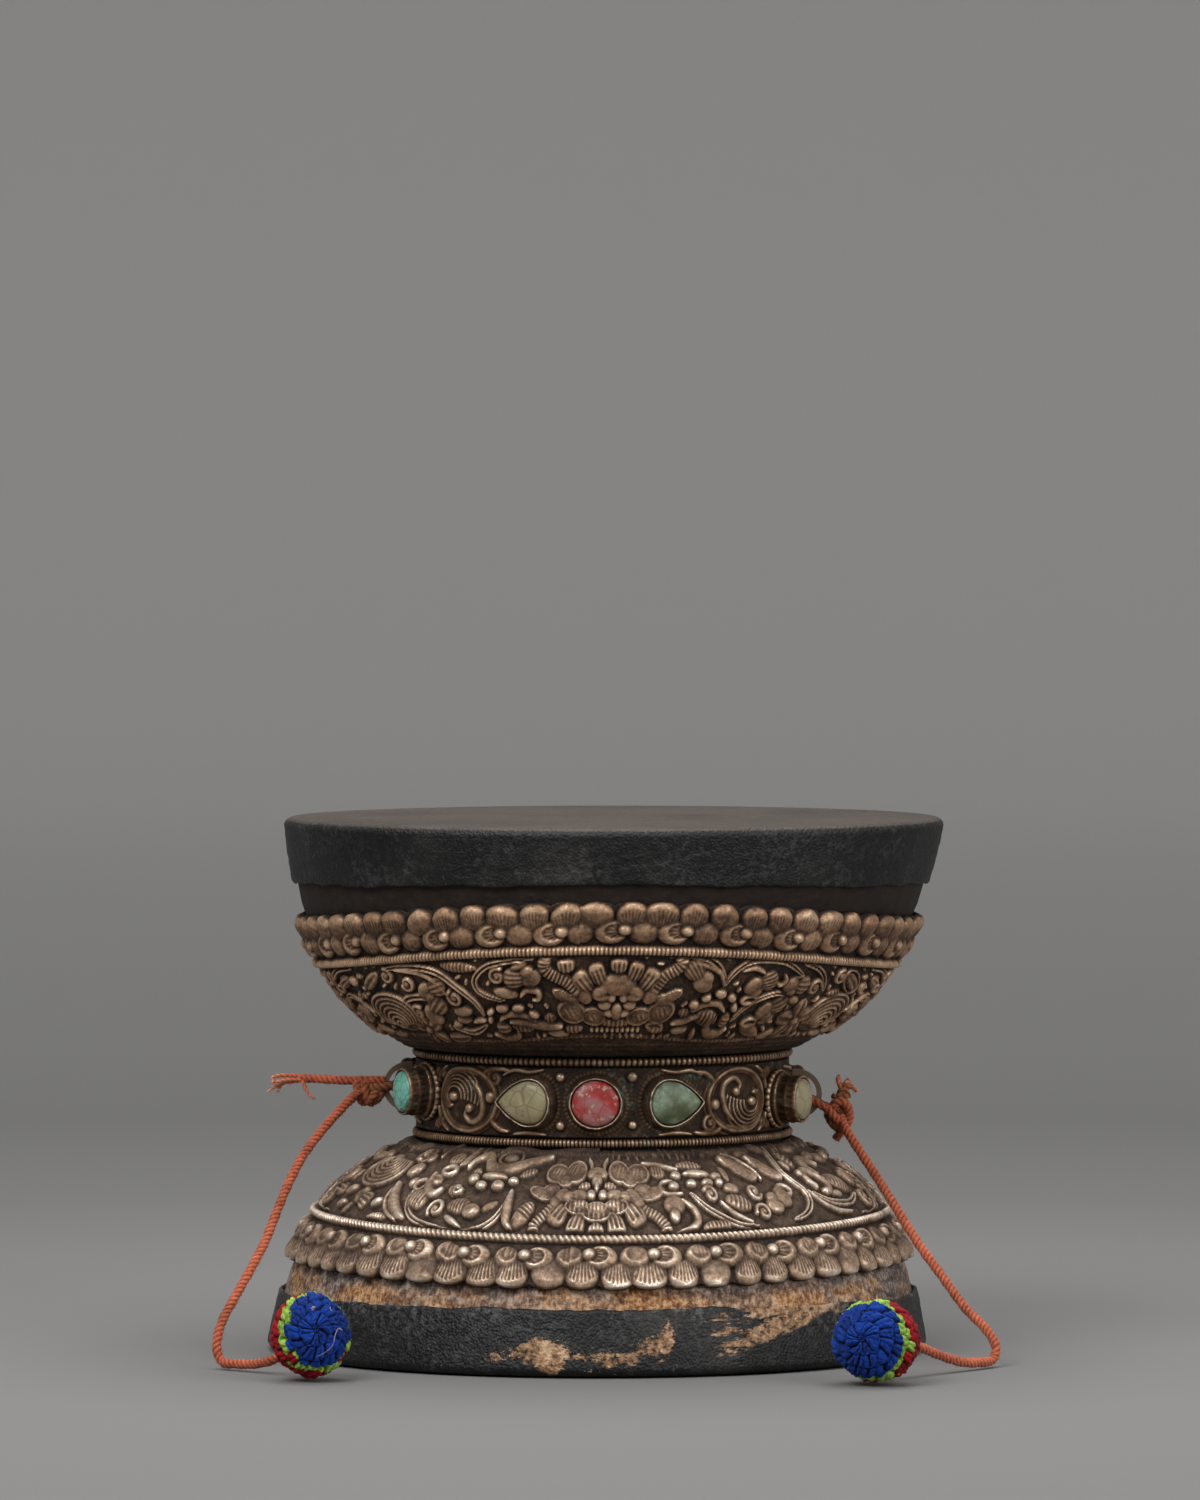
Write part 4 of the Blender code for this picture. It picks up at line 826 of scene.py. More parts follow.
def draw_lower_right(s):
    """Scrolls, buds and leaves to the right of the lower lotus."""
    s.line([(12.3, 5.2), (10.6, 5.3), (9.9, 6.2), (10.9, 7.0), (13.6, 7.0)], 0.6)
    s.leaf(12.4, 5.9, 2.0, 1.3, 0, 1.0)
    s.leaf(11.7, 8.6, 3.5, 3.0, 0, 1.0, power=0.35)
    s.leaf(11.4, 10.1, 1.8, 2.4, 0, 1.05)
    s.line([(13.0, 8.0), (14.6, 9.4), (14.8, 11.2), (13.2, 12.4), (10.6, 13.1)], 1.1, 0.9)
    s.line([(15.0, 7.0), (16.6, 9.0), (18.8, 10.6), (21.4, 12.0), (24.8, 12.5)], 1.1, 0.85, double=True)
    s.leaf(18.1, 12.0, 5.4, 1.9, -5, 0.9, rungs=0.6, point=0.4)
    s.curl(18.4, 7.3, 1.15, 220)
    s.leaf(22.8, 8.7, 4.5, 2.5, 18, 1.0, rungs=0.7, power=0.35)
    s.line([(19.5, 8.4), (21.2, 10.3), (23.8, 11.8)], 0.8)
    s.leaf(22.7, 6.5, 2.8, 1.5, 8, 0.85)
    s.leaf(21.0, 4.7, 2.2, 1.1, 0, 0.9)
    s.leaf(16.9, 3.0, 5.2, 1.2, 3, 0.9, rungs=0.7)
    s.leaf(17.5, 4.2, 5.4, 1.0, 3, 0.95)
    s.line([(7.6, 2.6), (11.0, 2.9), (14.2, 3.6)], 0.6)
    s.leaf(10.2, 3.7, 3.0, 1.9, 5, 0.8, rungs=0.55)
    for x, y, size in ((13.4, 4.4, 2.1), (15.7, 5.6, 2.0), (18.7, 5.6, 2.3), (21.0, 5.6, 1.6)):
        s.leaf(x, y, size, 1.1, 0, 1.0)
    s.curl(26.6, 7.3, 1.15, 30)
    s.curl(26.5, 10.4, 1.3, 180)
    s.bud(30.5, 9.0, 3.6, -25, 0)
    s.ring(33.1, 7.4, 2.4, 1.4, 10, 0.6, 0.8, 150, 450)
    s.line([(24.2, 2.4), (25.4, 2.7), (26.8, 3.7), (28.2, 4.8), (29.2, 5.0)], 2.0, 0.95)
    s.line([(25.6, 1.7), (27.8, 2.4), (29.6, 4.0), (29.9, 5.6)], 0.6)
    s.line([(30.6, 2.5), (31.9, 3.2), (33.3, 4.5), (34.6, 5.5)], 2.0, 0.95)
    s.leaf(36.8, 1.1, 3.8, 1.3, 10, 0.8)
    s.leaf(31.3, 1.7, 3.4, 1.1, 5, 0.7, rungs=0.5)
    s.line([(39.4, 1.2), (37.4, 2.7), (36.2, 4.7), (36.7, 6.3), (37.6, 7.6), (37.5, 9.0), (36.2, 10.4),
            (34.4, 11.3), (32.1, 11.8)], 1.1, 0.85, double=True)
    s.line([(38.4, 7.9), (39.8, 9.7), (41.4, 10.8), (43.3, 11.5), (46.4, 11.9)], 0.8)
    s.line([(39.4, 8.2), (41.6, 9.6), (44.8, 10.3), (48.6, 10.4), (52.0, 9.4)], 1.1, 0.85, double=True)
    s.leaf(41.2, 3.1, 2.6, 1.7, 70, 0.9, rungs=0.5)
    s.leaf(38.9, 3.9, 1.7, 1.2, 60, 0.85)
    s.bead(40.4, 5.3, 1.2, 0.95)
    s.ring(43.0, 6.7, 4.6, 3.0, 25, 1.0, 0.95, 120, 430)
    s.line([(45.2, 5.9), (44.3, 4.7), (45.2, 3.7), (47.1, 3.6), (48.6, 4.5)], 1.3, 0.95)
    s.leaf(49.2, 7.3, 5.8, 2.7, 22, 1.0, rungs=0.6, point=-0.2)
    s.leaf(45.8, 8.9, 3.0, 1.2, 10, 0.9)
    s.leaf(47.6, 1.6, 4.2, 1.2, 5, 0.7)


def draw_lower_left(s):
    """Scrolls, buds, leaves and a whorl to the left of the lower lotus."""
    s.line([(-1.0, 0.3), (-5.4, 0.3), (-9.5, 0.8), (-13.3, 1.0), (-16.0, 0.7), (-19.0, 0.4), (-21.8, 0.8),
            (-22.8, 1.8)], 0.8, 0.6, False, 0.5)
    s.line([(-26.3, 3.6), (-25.8, 2.5), (-24.6, 1.9), (-23.3, 2.1), (-22.2, 3.0), (-20.9, 3.6), (-19.1, 3.8),
            (-17.4, 3.5), (-15.9, 3.1), (-13.0, 2.4), (-9.9, 1.8)], 1.4, 1.0)
    s.leaf(-18.9, 1.9, 3.2, 1.2, 0, 0.7)
    s.ring(-18.9, 1.9, 5.0, 2.0, 0, 0.45, 0.55)
    s.leaf(-19.7, 4.7, 5.2, 1.1, 0, 1.05)
    for x, y, length, width in ((-23.4, 5.2, 2.0, 1.4), (-21.2, 6.1, 2.2, 1.3), (-18.1, 6.0, 2.4, 1.5),
                                (-15.6, 5.3, 2.0, 1.1)):
        s.leaf(x, y, length, width, 0, 1.1)
    s.leaf(-23.8, 4.1, 1.6, 1.1, 0, 0.8, rungs=0.5)
    s.leaf(-13.5, 4.0, 3.1, 1.2, -17, 0.85, rungs=0.55)
    s.leaf(-12.1, 10.1, 4.7, 2.7, 121, 1.1, rungs=0.6, power=0.4, smooth=0.2)
    s.line([(-15.0, 6.7), (-15.0, 8.2), (-14.8, 9.7), (-14.4, 11.2), (-13.4, 12.3)], 1.3, 0.95)
    s.line([(-15.3, 7.9), (-15.6, 9.3), (-16.4, 10.9), (-18.1, 12.3), (-20.7, 12.9), (-23.6, 12.8)], 1.1, 0.85,
           double=True)
    s.leaf(-23.3, 9.2, 4.4, 2.6, 0, 0.9, rungs=0.55, power=0.4)
    s.leaf(-20.7, 9.9, 3.1, 2.2, -5, 1.2)
    s.leaf(-23.2, 11.6, 4.2, 1.1, 25, 0.85, point=0.3)
    s.curl(-27.1, 9.9, 1.4, 140)
    s.leaf(-25.5, 7.0, 3.4, 1.8, 12, 0.85, rungs=0.6)
    s.curl(-25.0, 6.9, 0.8, 0, 1.0, 0.5, 1.0)
    s.line([(-32.2, 4.9), (-31.8, 6.5), (-30.7, 7.6), (-29.2, 7.7), (-28.2, 7.0)], 1.3, 0.95)
    s.leaf(-31.2, 5.6, 2.6, 1.9, 0, 0.85, ribs=2)
    s.ring(-29.8, 4.3, 2.7, 1.2, 0, 0.6, 0.9)
    s.leaf(-31.3, 2.4, 3.4, 1.8, 0, 0.8, rungs=0.55)
    s.line([(-28.6, 3.4), (-28.3, 2.2), (-28.0, 1.0)], 1.4, 0.75)
    s.line([(-36.2, 2.3), (-36.4, 1.0), (-34.5, 0.4)], 0.7, 0.5)
    s.leaf(-35.5, 6.4, 1.9, 1.4, -20, 1.0)
    s.ring(-33.6, 6.6, 2.3, 1.6, 0, 0.45, 0.75)
    s.leaf(-31.8, 8.7, 3.9, 3.0, 10, 1.05, rungs=0.62, power=0.35, corner=2.6)
    s.line([(-34.1, 7.8), (-33.6, 9.2), (-32.4, 10.6), (-30.2, 11.8), (-26.4, 12.6), (-22.4, 12.9)], 1.0, 0.85,
           double=True)
    s.line([(-38.9, 6.8), (-38.0, 8.4), (-36.5, 9.8), (-34.8, 10.9), (-32.7, 11.7)], 1.6, 0.95)
    s.line([(-39.3, 7.6), (-38.9, 9.3), (-37.0, 11.0), (-34.0, 12.2)], 0.7)
    s.leaf(-38.6, 12.0, 4.8, 1.5, -6, 0.85, rungs=0.55)
    s.leaf(-38.5, 4.6, 2.9, 2.1, -15, 1.05)
    s.form([(-41.6, 2.3, 3.0, 1.8, -20), (-39.9, 2.4, 2.6, 2.1, 10), (-38.4, 2.6, 1.9, 1.2, 0)], 0.9, sink=0.24)
    s.curl(-40.6, 2.4, 0.9, 60, 1.0, 0.5, 0.95)
    s.whorl(-47.6, 5.0, 12.4, 5.2, 7)
    s.leaf(-40.5, 9.9, 2.5, 1.4, -30, 1.05)
    s.bud(-45.6, 9.6, 3.1, 10, 4)
    s.leaf(-51.7, 8.7, 3.0, 1.5, -25, 0.95)
    s.leaf(-51.0, 10.9, 2.6, 1.3, -20, 0.9)
    s.leaf(-56.9, 9.0, 3.8, 2.2, 0, 0.95, ribs=3)
    s.leaf(-46.5, 1.2, 4.6, 1.2, -8, 0.75)


def draw_lower_sides(s):
    """What turns out of sight at the sides of the lower cover, alike on both."""
    s.curl(54.6, 10.2, 1.5, 30, 1.1, 0.7)
    s.line([(50.0, 12.4), (54.0, 12.8), (58.0, 11.6), (60.0, 8.6), (59.2, 6.2)], 1.1, 0.85, double=True)
    s.bud(56.6, 7.4, 3.4, 20, 4)
    s.leaf(55.0, 3.6, 4.6, 1.5, 8, 0.9)
    s.flower(62.8, 9.6, 3.8, 10)
    s.line([(61.6, 12.8), (64.4, 12.2), (66.4, 9.8), (66.2, 6.4), (64.4, 4.4)], 1.0, 0.8, double=True)
    s.leaf(60.4, 3.4, 3.2, 1.4, -10, 0.9)
    s.curl(62.8, 5.8, 1.1, 90)
    s.leaf(51.4, 3.0, 3.4, 1.3, 0, 0.85)


def upper_sheet():
    s = Relief((-HALF_ROUND, 0), (HALF_ROUND, 22))
    draw_upper_lotus(s)
    draw_upper_right(s)
    draw_upper_left(s)
    draw_upper_sides(s)
    s.mirror = 1.7
    s.whorl(43.0, 9.0, 11.0, 6.6, 7)
    s.curl(39.7, 15.3, 1.25, 90)
    s.leaf(44.4, 14.5, 5.4, 2.2, -28, 0.95, ribs=2)
    s.leaf(49.5, 14.7, 2.2, 1.8, 30, 0.95)
    draw_upper_sides(s)
    s.fill(4.4, 19.0)
    s.fill(4.4, 19.0, 1.2, 0.5, 0.6)
    return s


def lower_sheet():
    s = Relief((-HALF_ROUND, -0.4), (HALF_ROUND, 18))
    draw_lower_lotus(s)
    draw_lower_right(s)
    draw_lower_left(s)
    draw_lower_sides(s)
    s.mirror = -2.4
    draw_lower_sides(s)
    s.fill(0.4, 3.2, 1.5, 0.6, 0.5)
    s.fill(3.2, 13.0, 2.3, 1.0, 0.6)
    return s

# Covers

COLUMNS = 1800
CELL = 0.235
COVER_PARTS = 4


def lobe(dx, dy, half_x, half_y, power=0.45):
    """A rounded swelling that is 1 in its middle and 0 outside its oval."""
    return np.clip(1 - (dx / half_x) ** 2 - (dy / half_y) ** 2, 0, 1) ** power


def outer_petals(turn, reach, count, first, root, tip, chase):
    """A row of rounded shells side by side, bulging near their tips and chased above them."""
    place = (turn * SHEET_RADIUS - first) * count / (4 * HALF_ROUND)
    row = np.zeros(np.broadcast(turn, reach).shape)
    for beside in (-1, 0, 1):
        nearest = np.round(place) + beside
        number = np.mod(nearest, count)
        across = 2 * (place - nearest) + 0.30 * (steady(number, 1) - 0.5)
        across = across / (1.03 + 0.28 * (steady(number, 8) - 0.5))
        along = (reach - root) / (tip - root) + 0.14 * (steady(number, 2) - 0.5)
        along = along + 0.20 * (steady(number, 3) - 0.5) * across
        along = along + 0.18 * (steady(number, 10) > 0.7) * (np.abs(across) - 0.3)
        end = np.clip(along - 0.38, 0, None) / 0.64
        inside = np.clip(1 - np.abs(across) ** 2.2 - end ** 2.2, 0, 1)
        dome = inside ** 0.45 * np.interp(along, (-0.5, -0.3, 0.1, 0.6, 1), (0, 0.45, 0.72, 1.0, 0.98))
        spread = 0.6 + 0.4 * np.clip(along, 0, 1)
        fan = 0.5 + 0.5 * np.cos(across / spread * math.pi * 7)
        chased = (steady(number, 4) > 0.1) * np.clip((0.66 - 0.3 * across ** 2 - along) / 0.1, 0, 1)
        row = np.maximum(row, dome * (1 - chase * fan * chased))
    return row


def inner_petals(turn, reach, side, count, middle, body, bead, plain):
    """A row that repeats a coiled shell round its bead and a plain petal."""
    pitch = 4 * HALF_ROUND / count

    def beside(place):
        away = turn * SHEET_RADIUS - place
        return away - pitch * np.round(away / pitch)

    number = np.mod(np.round((turn * SHEET_RADIUS - body) / pitch), count)
    way = math.copysign(1.0, bead - body)
    dy = side * (reach - middle) + 0.35 * (steady(number, 5) - 0.5)
    dx = beside(body) + 0.3 * (steady(number, 6) - 0.5)
    from_bead = beside(bead)
    shell = 1.1 * lobe(dx, dy, 2.3, 2.05, 0.4)
    dish = np.clip(2.2 * lobe(dx - 0.5 * way, dy - 0.35, 1.5, 1.3, 1.0), 0, 1)
    lines = 0.5 + 0.5 * np.cos(20 * np.arctan2(dy - 0.5, from_bead))
    shell = shell * (1 - dish * (0.30 + 0.13 * lines))
    shell = shell * (1 - 0.42 * np.clip(1.6 * lobe(from_bead, dy - 0.5, 1.3, 1.25, 1.0), 0, 1))
    ball = lobe(from_bead, dy - 0.5, 1.1, 1.1, 0.5)
    aside = beside(plain) + 0.4 * (steady(number, 9) - 0.5)
    petal = lobe(aside, dy, 2.1, 2.05, 0.5) * np.interp(dy, (-2, 0.6, 2), (0.72, 1.0, 1.0))
    fan = 0.5 + 0.5 * np.cos(aside * math.pi / 0.3)
    scoop = 0.32 * np.clip(1.8 * lobe(aside - 0.2, dy - 0.75, 1.5, 1.5, 1.0), 0, 1) * (side < 0)
    petal = petal * (1 - scoop - 0.09 * fan * np.clip(0.6 - side * dy, 0, 1) * (steady(number, 7) > 0.25))
    return np.maximum.reduce([shell, ball * 1.2, petal * (1.04 + 0.16 * (side < 0))])


def milled(turn, reach, centre, half, count, slant=0.0):
    """A round wire cut across by many small grooves."""
    profile = np.clip(1 - ((reach - centre) / half) ** 2, 0, 1) ** 0.4
    cut = 0.5 - 0.5 * np.cos(turn * count + slant * (reach - centre))
    return profile * (0.68 + 0.32 * cut)


def blurred(height, reach=3):
    """The mean height round each place. The sheet runs on from its last column to its first."""
    for axis in (0, 1):
        moved = [np.roll(height, step, axis=axis) for step in range(-reach, reach + 1)]
        height = sum(moved) / len(moved)
    return height


def wear_and_shading_look(height, scale=1.4):
    """Brighter on high and sharply raised places, darker in hollows: rubbed crests with a painted highlight, and
    patina with painted shade in the hollows.
    """
    local = height - 0.5 * blurred(height, 4) - 0.5 * blurred(height, 1)
    return np.clip(0.25 + 0.27 * height / scale + np.where(local > 0, 1.7, 1.0) * local, 0, 1)


def cover_reaches(bowl, edge):
    """Reaches that stand evenly along the flare."""
    fine = np.linspace(COVER_STARTS[bowl.name], edge, 600)
    steps = np.hypot(np.diff(fine), np.diff(bowl.radius(fine)))
    travelled = np.concatenate([[0], np.cumsum(steps)])
    count = round(travelled[-1] / CELL)
    return np.interp(np.linspace(0, travelled[-1], count + 1), travelled, fine)


def cover_height(bowl, sheet, turn, reach, petals, pairs, waist):
    """Height of a cover's ornament above its sheet, for arrays of azimuth and reach."""
    fold = np.mod(turn + math.pi / 2, math.pi) - math.pi / 2
    along = fold * SHEET_RADIUS
    field = sheet.sample(along, reach) * 1.25
    field = field * np.clip((bowl.border - 0.85 - reach) / 0.3, 0, 1)
    half, cuts, slant = (0.76, 450, 0.0) if bowl.side > 0 else (0.64, 314, -3.4)
    wire = milled(turn, reach, bowl.border, half, cuts, slant)
    thin = milled(turn, reach, waist + 0.5 * np.cos(turn * 6) * (bowl.side > 0), 0.3, 300)
    outer = outer_petals(turn, reach, *petals) * 1.6
    inner = inner_petals(turn, reach, bowl.side, *pairs) * 1.35
    ground = 0.05 + 0.05 * ripple(along * 2.1, reach * 2.3) + 0.04 * ripple(along * 6.7, reach * 6.1)
    rings = 0.10 * (0.5 + 0.5 * np.cos(reach * 2 * math.pi / 0.8)) * (reach < waist - 0.6)
    return np.maximum.reduce([field, wire * 1.3, thin * 0.45, outer, inner, ground + rings])


def surface_normals(points):
    """Normals of a grid that closes both ways, pointing away from the axis at its first row."""
    along = np.roll(points, -1, axis=1) - np.roll(points, 1, axis=1)
    across = np.roll(points, -1, axis=0) - np.roll(points, 1, axis=0)
    normals = np.cross(along, across)
    normals /= np.maximum(np.linalg.norm(normals, axis=2, keepdims=True), 1e-12)
    middle = len(points) // 3
    outward = np.sum(normals[middle, :, :2] * points[middle, :, :2])
    return normals * np.sign(outward)


def make_cover(bowl, sheet, petals, pairs, waist):
    turn = (np.arange(COLUMNS) / COLUMNS * 2 - 0.75) * math.pi
    rows = cover_reaches(bowl, bowl.petal_edge + 0.1)
    number = (turn * SHEET_RADIUS - petals[1]) * petals[0] / (4 * HALF_ROUND)
    scallop = 0.75 * np.abs(2 * (number - np.round(number))) ** 2.5
    share = (rows - rows[0]) / (rows[-1] - rows[0])
    reach = rows[:, None] - scallop[None, :] * share[:, None] ** 6
    turn = np.broadcast_to(turn, reach.shape)
    height = cover_height(bowl, sheet, turn, reach, petals, pairs, waist)
    # Painted shadow: each cover's look grows darker close to the belt, where the belt shades it.
    look = wear_and_shading_look(height) * np.clip(0.35 + (reach - rows[0]) / 3.2, 0, 1)
    # Painted shade: the lower cover's look is darker towards its sides, turned away from the front light.
    if bowl.side < 0:
        look = look * (0.84 + 0.16 * np.clip(np.abs(np.cos(turn)) / 0.7, 0, 1))
    inside = [0] * 10
    inner_rows = np.linspace(1, 0, len(inside))
    low = rows[0] + (reach[-1] - rows[0]) * inner_rows[:, None]
    reach = np.vstack([reach, low])
    proud = np.vstack([GAP + SHEET + height, np.full_like(low, GAP)])
    look = np.vstack([look, np.full_like(low, 0.1)])
    turn = np.broadcast_to(turn[:1], reach.shape)
    weight = np.clip((reach - rows[0]) / (bowl.border - rows[0]), 0, 1)
    points = bowl.place(turn, reach + bowl.wave * np.cos(2 * turn) * weight, proud)
    normals = surface_normals(points)
    width = COLUMNS // COVER_PARTS
    for part in range(COVER_PARTS):
        columns = np.arange(part * width, (part + 1) * width + 1) % COLUMNS
        solid = Solid()
        solid.grid(points[:, columns], look[:, columns], close_rows=True)
        slot = "aged_silver" if bowl.side > 0 else "bright_silver"
        piece = solid.piece(f"{bowl.name}_cover_part_{part + 1}", bowl.name, slot=slot,
                            replaces=(f"{bowl.name}_cover", f"{bowl.name}_border_wire"))
        piece.data.normals_split_custom_set_from_vertices(normals[:, columns].reshape(-1, 3).tolist())


make_cover(UPPER, upper_sheet(), (63, 2.7, 22.8, 26.15, 0.10), (32, 20.9, 0.3, 2.05, 4.6), 4.3)
make_cover(LOWER, lower_sheet(), (58, 2.2, 18.2, 21.95, 0.20), (30, 16.6, 0.4, -1.5, 4.9), 0.9)

# Skins

SKIN_COLUMNS = 600


def make_skin(bowl):
    """A skin over the rim. Its lap ends in an uneven edge and its wall sinks here and there."""
    turn = np.linspace(-math.pi, math.pi, SKIN_COLUMNS, endpoint=False)
    ragged = 0.35 * ripple(turn * 9, turn * 3) + 0.25 * ripple(turn * 31, turn * 17)
    rows = []
    walls = bowl.depth - RIM_ROUND
    centre = bowl.radius(walls) - RIM_ROUND
    for share in np.linspace(0, 1, 26):
        reach = bowl.lap_edge + ragged * (1 - share) ** 2 + (walls - bowl.lap_edge) * share
        weight = np.clip((reach - walls + RIM_ROUND) / (bowl.lap_edge - walls + RIM_ROUND), 0, 1)
        moved = reach + bowl.lap_wave * np.cos(2 * turn) * weight
        dent = 0.10 * ripple(turn * 14, reach * 0.9) + 0.07 * ripple(turn * 37, reach * 2.1) - 0.17
        edge = -0.25 * (share == 0)
        rows.append(bowl.place(turn, moved, GAP + SKIN + dent * (1 - 0.5 * share) + edge))
    for angle in np.linspace(0, math.pi / 2, 10)[1:]:
        rows.append(rim_row(bowl, turn, walls, centre, GAP + SKIN, angle))
    face = GAP + SKIN
    for share in np.linspace(1, 0.01, 12)[1:]:
        rows.append(flat_row(bowl, turn, centre * share, face))
    inner = []
    for share in np.linspace(0, 1, 8):
        reach = bowl.lap_edge + ragged * (1 - share) ** 2 + (walls - bowl.lap_edge) * share
        weight = np.clip((reach - walls + RIM_ROUND) / (bowl.lap_edge - walls + RIM_ROUND), 0, 1)
        moved = reach + bowl.lap_wave * np.cos(2 * turn) * weight
        inner.append(bowl.place(turn, moved, np.full_like(turn, GAP)))
    for angle in np.linspace(0, math.pi / 2, 5)[1:]:
        inner.append(rim_row(bowl, turn, walls, centre, GAP, angle))
    inner.append(flat_row(bowl, turn, centre * 0.01, GAP))
    points = np.array(inner[::-1] + rows)
    solid = Solid()
    solid.grid(points, 0.5, close_columns=True)
    solid.piece(f"{bowl.name}_skin", f"{bowl.name}_skin", slot="black_skin",
                replaces=(f"{bowl.name}_head",))


def rim_row(bowl, turn, walls, centre, proud, angle):
    """A ring of points round the rim's rounded edge."""
    size = RIM_ROUND + proud
    radius = centre + size * math.cos(angle)
    return ring_points(bowl, turn, radius, walls + size * math.sin(angle))


def flat_row(bowl, turn, radius, proud):
    """A ring of points on a head's flat face."""
    return ring_points(bowl, turn, radius, bowl.depth + proud)


def ring_points(bowl, turn, radius, reach):
    x = radius * np.sin(turn) + bowl.lean * reach / bowl.depth
    height = np.full_like(turn, bowl.height(reach))
    return np.stack([x, -radius * np.cos(turn), height], axis=-1) * MM


make_skin(UPPER)
make_skin(LOWER)

# Belt

BELT_COLUMNS = 1040
BELT_ROWS = 66
BELT_SINK = 0.4
BELT_HALF = math.pi / 2 * BELT_FACE
CORAL = (-2.0, 9.6, 9.2)
OLIVE = (-23.5, 10.6, 8.8)
GREEN = (21.7, 10.6, 8.8)
DROP_TAPER = 0.75


def oval(length, width, grow, steps):
    """An oval outline, its length lying round the belt."""
    turns = np.linspace(0, 2 * math.pi, steps, endpoint=False)
    return np.stack([(length / 2 + grow) * np.cos(turns), (width / 2 + grow) * np.sin(turns)], axis=-1)


def drop(length, width, grow, steps):
    """A teardrop outline whose point looks along +X."""
    turns = np.linspace(0, 2 * math.pi, steps, endpoint=False)
    sides = np.sin(turns) * np.abs(np.sin(turns / 2)) ** DROP_TAPER
    return np.stack([(length / 2 + grow) * np.cos(turns), (width / 2 + grow) * sides / sides.max()], axis=-1)


SETTINGS = ((CORAL, oval, 1), (OLIVE, drop, -1), (GREEN, drop, 1))


def draw_panel(s, side):
    """A round scroll between a stone and a boss. The left one is the right one turned round."""
    def at(x, y):
        return side * x, side * y

    s.leaf(*at(26.2, 0.0), 13.0, 10.4, 0, 0.42, power=0.25)
    for grow, thick, rise in ((13.6, 0.8, 0.95), (12.2, 0.5, 0.7)):
        s.ring(*at(26.2, 0.0), grow, 0.8 * grow, 0, thick, rise)
    turned = 90 - 90 * side
    for step in range(6):
        s.ring(*at(29.3 - 0.3 * step, -0.5 - 0.1 * step), 3.7 + 1.16 * step, 3.5 + 1.1 * step, turned, 0.4,
               0.95, 170 - 3 * step, 430 - 9 * step)
    s.leaf(*at(29.5, -0.4), 2.3, 1.9, 0, 1.45)
    s.line([at(26.0, 1.7), at(26.3, 2.9), at(24.8, 3.9), at(22.8, 2.9), at(22.3, 0.9), at(23.0, -1.5),
            at(24.6, -3.4)], 1.25, 1.15)
    s.bead(*at(25.5, 1.5), 1.9, 1.35)
    s.line([at(23.4, -4.4), at(26.0, -5.0), at(30.0, -4.6), at(32.2, -2.4)], 1.0, 0.9)
    s.leaf(*at(20.6, -0.6), 2.2, 2.3, 0, 1.5)
    s.curl(*at(19.8, -4.0), 1.5, 90, 1.1, 0.8)
    s.leaf(*at(36.2, 0.3), 2.8, 2.6, 0, 1.5)
    s.leaf(*at(34.2, 4.4), 3.4, 2.0, 25, 0.9, rungs=0.8)
    s.leaf(*at(33.8, -4.4), 3.6, 2.0, -15, 0.9, rungs=0.8)
    s.ring(*at(26.4, -0.2), 15.6, 12.6, turned, 0.45, 0.5, 100, 250)
    s.line([at(31.4, 5.6), at(33.6, 4.0), at(34.4, 1.2)], 0.8, 0.7)
    s.line([at(31.8, -5.6), at(33.8, -4.0), at(34.6, -1.6)], 0.8, 0.7)
    s.line([at(17.0, 5.2), at(18.8, 4.9), at(20.4, 3.6), at(20.2, 2.0)], 1.0, 0.85)
    s.line([at(16.6, -5.3), at(18.6, -5.6), at(21.4, -5.2), at(22.6, -3.8)], 1.0, 0.8)


def belt_sheet():
    s = Relief((-BELT_HALF, -6.2), (BELT_HALF, 6.2))
    draw_panel(s, 1)
    draw_panel(s, -1)
    for x, y, size in ((-7.4, 4.4, 1.7), (-7.4, -4.0, 1.7), (5.2, 4.5, 1.9), (5.2, -3.8, 1.6)):
        s.bead(x, y, size, 1.1)
    for side in (-1, 1):
        s.line([(side * 10.4, 5.7), (side * 13.0, 5.2), (side * 15.8, 5.5), (side * 18.0, 4.6)], 0.8)
        s.line([(side * 10.0, -5.6), (side * 13.0, -5.3), (side * 16.0, -5.6)], 0.8)
        for step in range(9):
            s.bead(side * (43.0 + 1.0 * step), 4.9 - 0.1 * step, 0.8, 0.7)
            s.bead(side * (43.0 + 1.0 * step), -4.9 + 0.1 * step, 0.8, 0.7)
        s.curl(side * 45.5, 0.4, 2.4, 40, 1.6, 0.8)
    for (azimuth, length, width), outline, way in SETTINGS:
        middle = math.radians(azimuth) * BELT_FACE
        for grow, thick, rise in ((0.7, 0.9, 0.42), (1.5, 0.7, 0.26)):
            collar = [(middle + x, y) for x, y in outline(length, width, grow, 40) * (way, 1)]
            s.line(collar + collar[:1], thick, rise, taper=False, rungs=0.7)
    s.fill(0.5, 1.5, 0.6)
    return s


